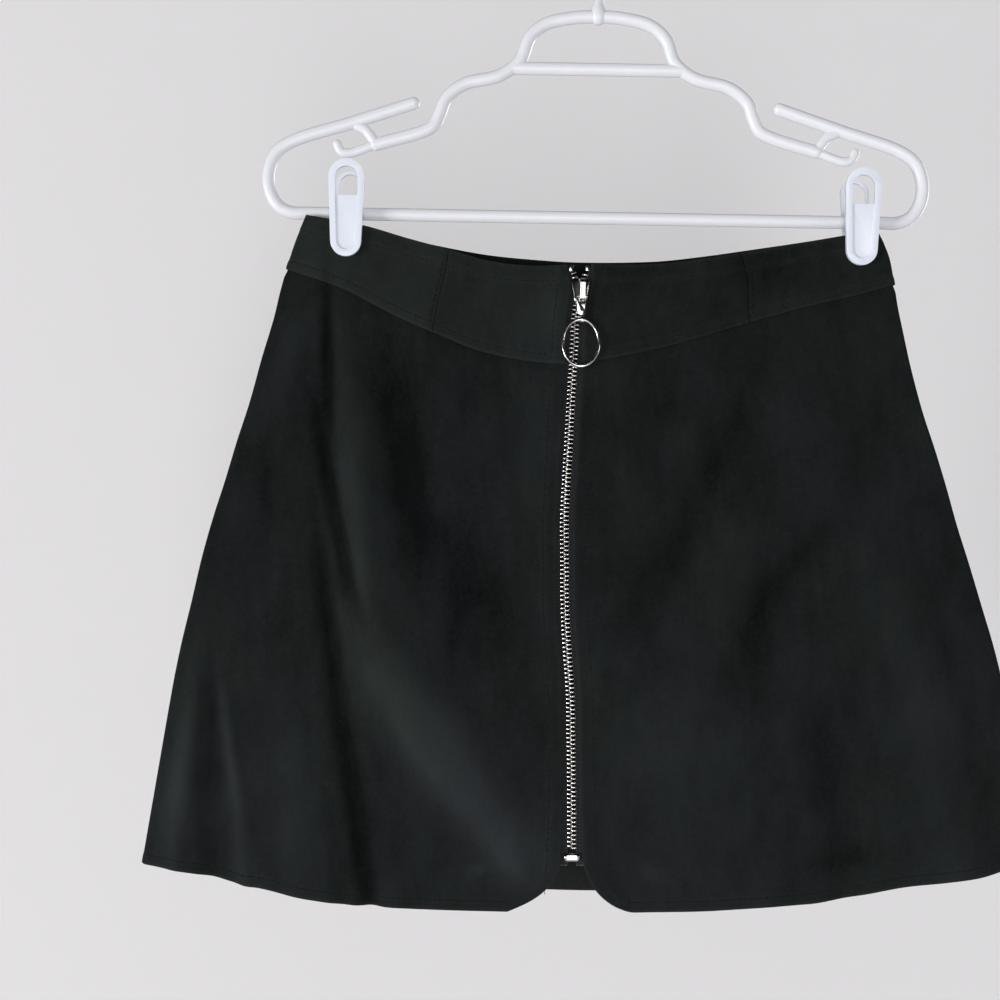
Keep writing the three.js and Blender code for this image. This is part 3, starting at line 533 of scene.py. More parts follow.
@dataclass(frozen=True)
class Paint:
    """Matt pale paint of the room, faintly rolled. The wall shows from its front alone."""

    name: str
    colour: tuple[float, float, float]
    one_sided: bool = False

    def make(self) -> Any:
        """A flat colour with a slow drift of tone."""
        r = Recipe(self.name)
        drift = r.noise(r.place(), 3.0, 3.0)
        r.set(Base_Color=r.shades(drift, self.colour, 0.975))
        r.set(Roughness=0.9, Specular_IOR_Level=0.2)
        r.relief(r.noise(r.place(), 900.0, 3.0), 0.1, 0.3)
        if self.one_sided:
            behind = r.node("NewGeometry", {}, "Backfacing")
            clear = r.node("BsdfTransparent", {})
            paint = Signal(r.tree, r.shader.outputs[0])
            both = r.node("MixShader", {0: behind, 1: paint, 2: clear})
            r.tree.links.new(both.socket, r.tree.nodes["Material Output"].inputs["Surface"])
        return r.material


@dataclass(frozen=True)
class Finish:
    """A material with the record's slot that it stands for."""

    material: Any
    slot: str


def placed(name: str, data: Any) -> Any:
    """A new object of the scene with this data."""
    made = bpy.data.objects.new(name, data)
    bpy.context.scene.collection.objects.link(made)
    return made


class Workshop:
    """Turns shapes into the scene's pieces."""

    def __init__(self) -> None:
        """Makes every finish once."""
        self.suede = Finish(Suede().make(), "suede")
        self.tape = Finish(Weave().make(), "zip_tape")
        self.thread = Finish(Thread().make(), "suede")
        self.metal = Finish(Nickel("zip_metal").make(), "zip_metal")
        self.teeth = Finish(Nickel("zip_teeth", (0.84, 0.83, 0.81), 0.22).make(), "zip_metal")
        self.hanger = Finish(Plastic("hanger_plastic", (0.79, 0.80, 0.84)).make(), "hanger_plastic")
        self.clip = Finish(Plastic("clip_plastic", (0.76, 0.795, 0.885), 0.30).make(), "clip_plastic")

    def piece(self, name: str, shape: Shape, finish: Finish, nodes: Sequence[str] = (), body: str = "root",
              crisp: float = 0.0) -> Any:
        """Makes one piece.

        Args:
            name: the piece's name.
            shape: its points and faces, in millimetres.
            finish: its material; its slot is not used here.
            nodes: the CAD nodes that it stands for.
            body: the body that it moves with.
            crisp: the angle in degrees past which an edge stays sharp, or nought for none.

        Returns:
            The piece.
        """
        mesh = bpy.data.meshes.new(name)
        faces = shape.quads.tolist() + shape.triangles.tolist()
        mesh.from_pydata((shape.points * MM).tolist(), [], faces)
        mesh.polygons.foreach_set("use_smooth", np.ones(len(faces), bool))
        if crisp:
            mesh.set_sharp_from_angle(angle=math.radians(crisp))
        mesh.materials.append(finish.material)
        mesh.update()
        return self.settle(placed(name, mesh), nodes, body)

    def settle(self, made: Any, nodes: Sequence[str], body: str) -> Any:
        """Fixes a piece to its body and hides the CAD nodes that it stands for."""
        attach(made, body)
        if nodes:
            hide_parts(*nodes)
        LOG.info("%s: %d points, rides %s", made.name, len(made.data.vertices), body)
        return made

    def eased(self, name: str, node: Any, finish: Finish, body: str, ease: float,
              aside: float = 0.0) -> Any:
        """A copy of a CAD node with its edges rounded to ease millimetres, set aside a little along X.

        Args:
            name: the piece's name.
            node: the CAD node.
            finish: its material; its slot is not used here.
            body: the body that it moves with.
            ease: the width of its rounded edges, in millimetres.
            aside: how far it is moved along X, in millimetres.

        Returns:
            The piece.
        """
        mesh = node.data.copy()
        work = bmesh.new()
        work.from_mesh(mesh)
        bmesh.ops.translate(work, vec=(aside * MM, 0.0, 0.0), verts=work.verts)
        bmesh.ops.remove_doubles(work, verts=work.verts, dist=0.00001)
        bmesh.ops.dissolve_limit(work, angle_limit=math.radians(2.0), verts=work.verts, edges=work.edges)
        work.to_mesh(mesh)
        work.free()
        mesh.name = name
        mesh.materials.clear()
        mesh.materials.append(finish.material)
        mesh.polygons.foreach_set("use_smooth", np.ones(len(mesh.polygons), bool))
        made = placed(name, mesh)
        bevel = made.modifiers.new("eased edges", "BEVEL")
        bevel.width = ease * MM
        bevel.segments = 3
        bevel.limit_method = "ANGLE"
        bevel.angle_limit = math.radians(28.0)
        bevel.harden_normals = True
        return self.settle(made, [node["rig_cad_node"]], body)


# The cloth


class Side(Enum):
    """The two layers of the flattened skirt, by the way that they face along Y."""

    FRONT = -1
    BACK = 1


# How far down (t), then the left edge, the zip's line and the right edge
BREADTH = (
    (0.00, -183.6, -13.9, 172.1), (0.04, -190.3, -13.2, 179.4), (0.08, -195.6, -16.0, 182.6),
    (0.12, -200.1, -17.1, 185.0), (0.16, -204.0, -17.9, 188.2), (0.22, -211.3, -19.4, 193.3),
    (0.29, -219.1, -20.8, 200.6), (0.35, -227.0, -22.2, 208.3), (0.41, -234.3, -23.4, 215.4),
    (0.47, -242.1, -23.4, 221.9), (0.53, -248.9, -23.2, 229.3), (0.60, -255.5, -21.7, 237.5),
    (0.66, -261.4, -20.1, 244.5), (0.72, -266.4, -19.8, 250.3), (0.84, -274.9, -19.4, 259.3),
    (1.00, -286.1, -19.2, 269.0),
)
# How far down, half the depth at the middle, and the radius of the side folds
DEPTH = ((0, 7, 0.85), (0.15, 11, 1.1), (0.40, 16.5, 1.8), (0.70, 21, 2.5), (1, 24, 3.0))
# How far down, and half the width of the zip's opening
OPENING = (
    (0, 7.4), (0.03, 6.4), (0.08, 5.2), (0.80, 5.2), (0.923, 6.8), (0.945, 8.1), (0.97, 8.3), (1, 8.3),
)
# Across (s from the left fold at -1 to the right one at 1), height in front and at the back
WAIST = (
    (-1, -190.1, -190.1), (-0.79, -196.7, -196.6), (-0.62, -205.3, -205.0), (-0.47, -212.5, -210.3),
    (-0.33, -219.6, -214.3), (-0.18, -222.8, -216.8), (0, -222.2, -218.6), (0.25, -221.8, -218.3),
    (0.41, -218.5, -215.5), (0.60, -212.5, -210.9), (0.75, -207.6, -207.0), (0.88, -203.4, -203.3),
    (1, -199.5, -199.5),
)
HEM = (
    (-1, -594.6, -594.6), (-0.9, -599.2, -599.2), (-0.8, -603.0, -602.6), (-0.7, -608.0, -606.6),
    (-0.6, -613.2, -610.8), (-0.5, -616.0, -613.6), (-0.25, -618.0, -617.0), (0, -618.8, -618.6),
    (0.25, -618.4, -617.4), (0.5, -615.4, -613.4), (0.6, -611.6, -610.4), (0.7, -606.8, -606.2),
    (0.8, -604.4, -603.8), (0.9, -601.4, -601.0), (1, -592.0, -592.0),
)
# Across, and how far down the yoke's seam runs in front and at the back
YOKE_SEAM = (
    (-1, 0.084, 0.084), (-0.8, 0.098, 0.100), (-0.6, 0.118, 0.116), (-0.42, 0.133, 0.130),
    (-0.2, 0.148, 0.143), (0, 0.156, 0.148), (0.2, 0.139, 0.143), (0.45, 0.116, 0.124),
    (0.65, 0.103, 0.108), (0.85, 0.094, 0.096), (1, 0.088, 0.088),
)


@dataclass(frozen=True)
class Fold:
    """One soft fold: three places (s, t) on its way, its width and rise, and whether it meets the hem."""

    start: tuple[float, float]
    bend: tuple[float, float]
    end: tuple[float, float]
    width: float
    proud: float
    open: bool = True


# The folds that the solids have too
FRONT_FOLDS = (
    Fold((-0.735, 0.36), (-0.585, 0.68), (-0.455, 1.0), 6.5, -4.6),
    Fold((-0.83, 0.22), (-0.675, 0.41), (-0.49, 0.63), 5, -3.8, False),
    Fold((-0.80, 0.10), (-0.64, 0.35), (-0.475, 0.68), 11, 4.6, False),
    Fold((-0.65, 0.09), (-0.52, 0.29), (-0.36, 0.54), 16, -4.4, False),
    Fold((-0.40, 0.34), (-0.22, 0.53), (-0.10, 0.74), 24, -2.6, False),
    Fold((-0.60, 0.50), (-0.34, 0.75), (0.02, 1.0), 21, 4.6),
    Fold((-0.925, 0.62), (-0.87, 0.83), (-0.825, 1.0), 9, -3.4),
    Fold((-0.90, 0.64), (-0.82, 0.82), (-0.745, 1.0), 5, 3.0),
    Fold((0.56, 0.16), (0.37, 0.36), (0.15, 0.60), 14, -3.0, False),
    Fold((0.72, 0.40), (0.50, 0.53), (0.44, 0.78), 13, -2.8, False),
    Fold((0.70, 0.34), (0.78, 0.62), (0.82, 1.0), 20, 2.4),
    Fold((0.56, 0.66), (0.57, 0.82), (0.575, 1.0), 13, -2.4),
)
BACK_FOLDS = (
    Fold((-0.84, 0.12), (-0.66, 0.50), (-0.54, 1.0), 11, -3.0),
    Fold((-0.66, 0.14), (-0.50, 0.52), (-0.40, 1.0), 18, 3.0),
    Fold((0.84, 0.14), (0.68, 0.50), (0.56, 1.0), 12, -2.8),
    Fold((0.68, 0.16), (0.52, 0.52), (0.42, 1.0), 19, 2.8),
    Fold((-0.05, 0.30), (0.02, 0.60), (0.06, 1.0), 26, -2.6),
)
# Lesser creases that only the cloth here has
FRONT_CREASES = (
    Fold((-0.875, 0.06), (-0.80, 0.19), (-0.67, 0.40), 3.6, -3.2, False),
    Fold((-0.845, 0.06), (-0.765, 0.19), (-0.64, 0.40), 7.0, 1.2, False),
    Fold((-0.71, 0.40), (-0.615, 0.53), (-0.56, 0.64), 3.5, 1.4, False),
    Fold((-0.96, 0.58), (-0.935, 0.80), (-0.92, 1.0), 7, 1.8),
    Fold((-0.60, 0.80), (-0.55, 0.90), (-0.52, 1.0), 6, -1.6),
    Fold((-0.70, 0.66), (-0.66, 0.82), (-0.63, 1.0), 9, 1.2),
    Fold((-0.50, 0.20), (-0.40, 0.34), (-0.30, 0.50), 10, 1.3, False),
    Fold((-0.22, 0.14), (-0.18, 0.24), (-0.17, 0.36), 9, -0.7, False),
    Fold((0.16, 0.15), (0.18, 0.24), (0.24, 0.36), 11, -0.8, False),
    Fold((0.38, 0.13), (0.43, 0.26), (0.50, 0.40), 12, 0.9, False),
    Fold((0.72, 0.12), (0.77, 0.26), (0.80, 0.42), 9, -0.8, False),
    Fold((0.86, 0.46), (0.90, 0.72), (0.92, 1.0), 9, -1.1),
    Fold((0.22, 0.66), (0.26, 0.82), (0.28, 1.0), 18, 1.0),
    Fold((0.44, 0.72), (0.46, 0.86), (0.47, 1.0), 12, -0.9),
)
BACK_CREASES = (
    Fold((-0.90, 0.14), (-0.78, 0.30), (-0.70, 0.48), 7, 0.9, False),
    Fold((-0.30, 0.16), (-0.24, 0.34), (-0.20, 0.56), 13, -1.0, False),
    Fold((0.28, 0.15), (0.25, 0.34), (0.20, 0.58), 14, 1.0, False),
    Fold((0.90, 0.16), (0.80, 0.36), (0.76, 0.52), 8, -0.9, False),
    Fold((-0.76, 0.62), (-0.73, 0.82), (-0.72, 1.0), 9, -1.4),
    Fold((0.22, 0.64), (0.27, 0.82), (0.30, 1.0), 16, 1.4),
    Fold((0.78, 0.66), (0.75, 0.84), (0.75, 1.0), 9, 1.3),
    Fold((-0.24, 0.70), (-0.20, 0.86), (-0.19, 1.0), 14, 1.1),
)


@dataclass(frozen=True)
class Stroke:
    """A patch of tone laid on the cloth, where the nap lies another way, and on the front's deep left valley
    painted shade and painted highlight: its middle (x, z), half sizes, lean in degrees and tone.
    """

    middle: tuple[float, float]
    half: tuple[float, float]
    lean: float
    tone: float


# Patches of the front, darker below nought and paler above: brushed nap, with painted shade down the deep
# left valley and painted highlight on its lit flank
FRONT_STROKES = (
    Stroke((-122, -325), (13, 58), 9, -0.50),
    Stroke((-117, -356), (13, 34), 10, -0.30),
    Stroke((-66, -442), (26, 52), 24, 0.05),
    # Painted highlight on the lit flank right of the deep left valley
    Stroke((-151, -374), (6, 52), 5, 0.25),
    Stroke((-148, -405), (5, 16), 5, 0.30),
    Stroke((-166, -300), (12, 26), 8, -0.30),
    Stroke((-100, -523), (18, 62), 39, 0.80),
    Stroke((-50, -578), (26, 20), 30, 0.45),
    # Painted shade down the deep left valley
    Stroke((-169, -269), (3.4, 36), 3, -1.20),
    Stroke((-162, -378), (3.2, 46), 13, -1.00),
    Stroke((-159, -501), (4.5, 100), 9, -0.60),
    Stroke((-148, -578), (7, 36), 6, -0.45),
    Stroke((-210, -356), (4, 26), 3, -0.40),
    Stroke((-187, -455), (16, 42), 5, -0.15),
    Stroke((-265, -544), (9, 52), -10, 0.80),
    Stroke((-241, -548), (8, 52), 3, 0.20),
    Stroke((-225, -548), (3, 52), 11, 0.60),
    Stroke((-193, -554), (20, 48), 5, 0.30),
    Stroke((-196, -272), (12, 44), -12, 0.50),
    Stroke((-41, -337), (10, 40), 0, 0.20),
    Stroke((-33, -256), (8, 24), 0, 0.30),
    Stroke((39, -405), (15, 48), -27, 0.05),
    Stroke((14, -430), (24, 22), 0, -0.10),
    Stroke((132, -393), (11, 34), -44, -0.20),
    Stroke((99, -455), (10, 40), -5, -0.20),
    Stroke((129, -325), (24, 34), 0, 0.25),
    Stroke((47, -331), (10, 20), -20, 0.35),
    Stroke((70, -430), (14, 40), -15, 0.20),
    Stroke((28, -517), (22, 36), 0, 0.35),
    Stroke((144, -589), (22, 7), 8, -0.55),
    Stroke((172, -523), (50, 60), 0, 0.15),
    Stroke((104, -226), (24, 18), -8, -0.45),
    Stroke((-76, -593), (7, 4), 20, 0.55),
    Stroke((30, -596), (9, 5), -15, 0.50),
)
# Brushed patches of the back
BACK_STROKES = (
    Stroke((-120, -330), (18, 80), -10, -0.50),
    Stroke((-80, -430), (24, 90), -6, 0.50),
    Stroke((20, -380), (26, 80), 8, -0.35),
    Stroke((110, -340), (18, 70), 12, 0.45),
    Stroke((150, -450), (16, 80), 10, -0.50),
    Stroke((-170, -520), (14, 70), -12, 0.45),
    Stroke((60, -540), (34, 44), 0, 0.35),
    Stroke((0, -250), (60, 16), 0, 0.30),
)


@dataclass(frozen=True)
class Cloth:
    """The skirt's cloth as one flattened tube, from the waist (t = 0) down to the hem (t = 1).

    plane is where its middle hangs along Y, drop its height, and clips the places s, left and
    right, where the clips hold it shut.
    """

    plane: float = -6.6
    ease: float = 0.5
    drop: float = 396.0
    clips: tuple[float, float] = (0.755, 0.86)
    # How much of the folds' rise is painted into the tone, as painted shade in troughs and painted highlight
    # on ridges
    painted_fold_shade: float = 0.15
    corner_start: float = 0.923
    corner_power: float = 2.4
    left: Line = columns(BREADTH)[0]
    zip_line: Line = columns(BREADTH)[1]
    right: Line = columns(BREADTH)[2]
    depth: Line = columns(DEPTH)[0]
    radius: Line = columns(DEPTH)[1]
    opening: Line = columns(OPENING)[0]
    waists: tuple[Line, ...] = tuple(columns(WAIST))
    hems: tuple[Line, ...] = tuple(columns(HEM))
    seams: tuple[Line, ...] = tuple(columns(YOKE_SEAM))

    def pick(self, lines: tuple[Line, ...], side: Side) -> Line:
        """The line of the front or of the back."""
        return lines[0 if side is Side.FRONT else 1]

    def seam(self, side: Side, s: Any) -> Array:
        """How far down the yoke's seam runs."""
        return self.pick(self.seams, side)(s)

    def half_width(self, s: Any, t: Any) -> Array:
        """The distance across from the zip's line to the edge on that side."""
        mid = self.zip_line(t)
        return np.where(np.asarray(s) < 0, mid - self.left(t), self.right(t) - mid)

    def swell(self, s: Array, t: Array) -> Array:
        """How far the tube stands open: one less s to the power p, to the power q, pinned at the clips."""
        reach = lerp(np.where(s < 0, *self.clips), 1.0, smooth(0.02, 0.24, t))
        p = lerp(2.0, 2.6, smooth(0.0, 0.4, t))
        q = lerp(1.5, 1.3, smooth(0.0, 0.4, t))
        return np.maximum(0.0, 1.0 - (np.abs(s) / reach) ** p) ** q

    def folded(self, folds: Sequence[Fold], s: Array, t: Array) -> Array:
        """The outward push of the folds: each a bell across a parabola that runs down the cloth."""
        push = np.zeros(np.broadcast(s, t).shape)
        width = self.half_width(s, t)
        for f in folds:
            (s0, t0), (s1, t1), (s2, t2) = f.start, f.bend, f.end
            k = np.clip((t - t0) / (t2 - t0), 0.0, 1.0)
            knee = (t1 - t0) / (t2 - t0)
            bend = (s1 - lerp(s0, s2, knee)) / (knee * (1 - knee))
            line = lerp(s0, s2, k) + bend * k * (1 - k)
            across = (s - line) * width / f.width
            length = smooth(t0, lerp(t0, t2, 0.35), t)
            if not f.open:
                length = length * (1 - smooth(lerp(t0, t2, 0.6), t2, t))
            push += f.proud * length * np.exp(-across * across)
        return push

    def relief(self, side: Side, s: Array, t: Array) -> Array:
        """All the folds, faded at the side folds and beside the zip, with the faint unevenness of hide."""
        front = side is Side.FRONT
        main = self.folded(FRONT_FOLDS if front else BACK_FOLDS, s, t)
        fine = self.folded(FRONT_CREASES if front else BACK_CREASES, s, t)
        across = s * self.half_width(s, t)
        down = t * self.drop
        turn = 0.9 if front else 2.1
        wander = np.sin(across / 11.0 + 1.7 * np.sin(down / 37.0 + turn))
        uneven = 0.16 * wander * np.sin(down / 17.0 + turn)
        uneven = uneven + 0.22 * np.sin(across / 29.0 - down / 61.0 + turn) * np.sin(down / 43.0 - turn)
        near_seam = bump((t - self.seam(side, s)) * self.drop, 6.0, 12.0)
        ripple = np.sin(across / 3.4 + np.sin(across / 9.0)) * np.sin(across / 23.0 + turn)
        pucker = 0.16 * near_seam * ripple
        fade = 1 - smooth(0.9, 0.985, np.abs(s))
        if front:
            fade = fade * smooth(0.05, 0.14, np.abs(s))
        return (main + fine + uneven + pucker) * fade

    def lip(self, open_by: Any) -> Array:
        """Keeps the layers apart: half of the opening plus the root of its square and a small ease."""
        return 0.5 * (open_by + np.sqrt(np.square(open_by) + self.ease * self.ease))

    def middle(self, side: Side, s: Any, t: Any) -> Array:
        """A point of the cloth's middle surface.

        The cloth runs flat to the side fold and then round a quarter of a circle.
        """
        s, t = np.broadcast_arrays(np.asarray(s, float), np.asarray(t, float))
        r = self.radius(t)
        flat = self.half_width(s, t) - r
        along = np.abs(s) * (flat + r * np.pi / 2)
        way = np.where(s < 0, -1.0, 1.0)
        high, low = self.pick(self.waists, side)(s), self.pick(self.hems, side)(s)
        turned = along > flat
        angle = np.clip((along - flat) / r, 0.0, np.pi / 2)
        inside = way * np.minimum(along / flat, 1.0)
        open_by = (self.depth(t) - r) * self.swell(inside, t) + self.relief(side, s, t)
        rise = np.where(turned, (r + self.lip(0.0)) * np.cos(angle), r + self.lip(open_by))
        x = self.zip_line(t) + way * np.where(turned, flat + r * np.sin(angle), along)
        return np.stack([x, self.plane + side.value * rise, lerp(high, low, t)], -1)

    def outward(self, side: Side, s: Any, t: Any) -> Array:
        """The direction square to the cloth and out of the skirt, from small steps across and down."""
        s, t = np.broadcast_arrays(np.asarray(s, float), np.asarray(t, float))
        ds = np.where(np.abs(s) > 0.5, -np.sign(s) * 1e-3, 1e-3)
        dt = np.where(t > 0.5, -1e-3, 1e-3)
        here = self.middle(side, s, t)
        across = (self.middle(side, s + ds, t) - here) / ds[..., None]
        down = (self.middle(side, s, t + dt) - here) / dt[..., None]
        normal = unit(np.cross(across, down))
        return -normal if side is Side.FRONT else normal

    def zip_edge(self, way: int, t: Array) -> Array:
        """Where the suede ends beside the zip: slanted at the hem's corner on the left, round on the right.

        The corner goes out by a power of how far it has turned, mixed with a quarter circle.
        """
        reach, slant = (31.0, 1.0) if way < 0 else (30.6, 0.2)
        turn = np.clip((t - self.corner_start) / (1 - self.corner_start), 0.0, 1.0)
        circle = 1 - np.sqrt(1 - turn * turn)
        round_off = reach * lerp(circle, turn**self.corner_power, slant)
        return way * (self.opening(t) + round_off) / self.half_width(way, t)

    def nap_and_painted_fold_shade(self, side: Side, s: Array, t: Array, place: Array) -> Array:
        """How pale the cloth is painted: painted highlight on the ridges and painted shade in the troughs,
        with the brushed patches laid over.

        A patch is a bell across and along its own leaning axes.
        """
        front = side is Side.FRONT
        folds = FRONT_FOLDS + FRONT_CREASES if front else BACK_FOLDS + BACK_CREASES
        # Painted shade in the troughs and painted highlight on the ridges, in step with the folds' rise
        tone = np.clip(self.painted_fold_shade * self.folded(folds, s, t), -0.6, 0.5)
        for patch in FRONT_STROKES if front else BACK_STROKES:
            a = math.radians(patch.lean)
            dx, dz = place[..., 0] - patch.middle[0], place[..., 2] - patch.middle[1]
            across = (dx * math.cos(a) + dz * math.sin(a)) / patch.half[0]
            along = (dz * math.cos(a) - dx * math.sin(a)) / patch.half[1]
            tone = tone + patch.tone * np.exp(-across * across - along * along)
        return np.clip(tone, -1.0, 1.0)

    def zip_point(self, t: Any, across: Any, inward: Any) -> Array:
        """A point beside the zip's line: across from it and in behind the cloth's middle surface."""
        s = across / self.half_width(across, t)
        behind = np.asarray(inward, float)[..., None]
        return self.middle(Side.FRONT, s, t) - self.outward(Side.FRONT, s, t) * behind


@dataclass(frozen=True)
class Rule:
    """Where a grid's lines lie between two edges.

    near and far are distances from either edge, and count lines lie between them, evenly or as
    bunch spreads them.
    """

    near: tuple[float, ...]
    far: tuple[float, ...]
    count: int
    bunch: Optional[Spread] = None

    def spots(self, length: Array, axis: int) -> Array:
        """Each line's share of the way across, where the two edges are length apart."""
        k = np.linspace(0, 1, self.count + 2)[1:-1]
        k = k if self.bunch is None else self.bunch(k)
        near = np.r_[self.near, np.full(self.count + len(self.far), self.near[-1])]
        far = np.r_[np.full(self.count + len(self.near), self.far[-1]), self.far[::-1]]
        share = np.r_[np.zeros(len(self.near)), k, np.ones(len(self.far))]
        form = (-1, 1) if axis == 0 else (1, -1)
        near, far, share = (v.reshape(form) for v in (near, far, share))
        return (1 - share) * near / length + share * (1 - far / length)

    def size(self) -> int:
        """How many lines there are."""
        return len(self.near) + self.count + len(self.far)


CUT_EDGE = (0.0, 0.09, 0.32, 0.7, 1.2, 2.2, 4.0)
WAIST_EDGE = (0.0, 0.09, 0.32, 0.7, 1.2, 3.0, 6.0, 8.4, 9.3, 9.8, 10.3, 11.2)
HEM_EDGE = (0.0, 0.09, 0.32, 0.7, 1.2, 3.0, 4.8, 5.7, 6.2, 6.7, 7.6)
ZIP_EDGE = (0.0, 0.09, 0.32, 0.7, 1.2, 2.5, 4.5, 7.0, 7.8, 8.4, 8.9, 9.4, 10.2)
LAP_EDGE = (0.0, 0.09, 0.32, 0.7, 1.2, 2.6, 4.2, 4.9, 5.4, 5.9, 6.8)


@dataclass(frozen=True)
class Turning:
    """An edge turned in and stitched down, all in millimetres from the edge.

    It is thick higher than the single cloth out to a soft step, and dips along its row of
    stitches by a depth over a width. Its edge is worn by an amount, round a place, over a width.
    """

    row: float
    thick: float
    step: tuple[float, float]
    dip: tuple[float, float]
    edge_wear: tuple[float, float, float]
    row_wear: float

    def lift(self, distance: Array) -> Array:
        """How far the cloth's outside stands up at a distance from the edge."""
        depth, width = self.dip
        return self.thick * (1 - smooth(*self.step, distance)) - depth * bump(distance, self.row, width)

    def wear(self, distance: Array) -> Array:
        """How worn the cloth is at a distance from the edge."""
        amount, place, width = self.edge_wear
        return amount * bump(distance, place, width) + self.row_wear * bump(distance, self.row, 1.4)


LAP = Turning(5.5, 0.16, (5.2, 6.4), (0.26, 0.55), (0.16, 0.5, 1.2), 0.14)
WAIST_TURN = Turning(9.8, 0.3, (9.8, 11.2), (0.24, 0.6), (0.18, 0.4, 1.2), 0.10)
HEM_TURN = Turning(6.2, 0.3, (6.0, 7.4), (0.24, 0.55), (0.26, 0.4, 1.3), 0.08)
ZIP_TURN = Turning(8.4, 0.32, (8.6, 10.2), (0.26, 0.6), (0.20, 0.4, 1.2), 0.08)


@dataclass(frozen=True)
class StitchRow:
    """A row of topstitching on a piece, as a path of places s and t."""

    name: str
    s: Array
    t: Array


@dataclass(frozen=True)
class CutPiece:
    """One cut piece of suede, between a line on its left and right, and a top and a foot."""

    name: str
    side: Side
    begin: Spread
    end: Spread
    top: Spread
    foot: Spread
    across: Rule
    down: Rule
    is_yoke: bool
    zip_way: int = 0
    upright: int = 0
    tone: float = 0.0
    rows: tuple[StitchRow, ...] = ()


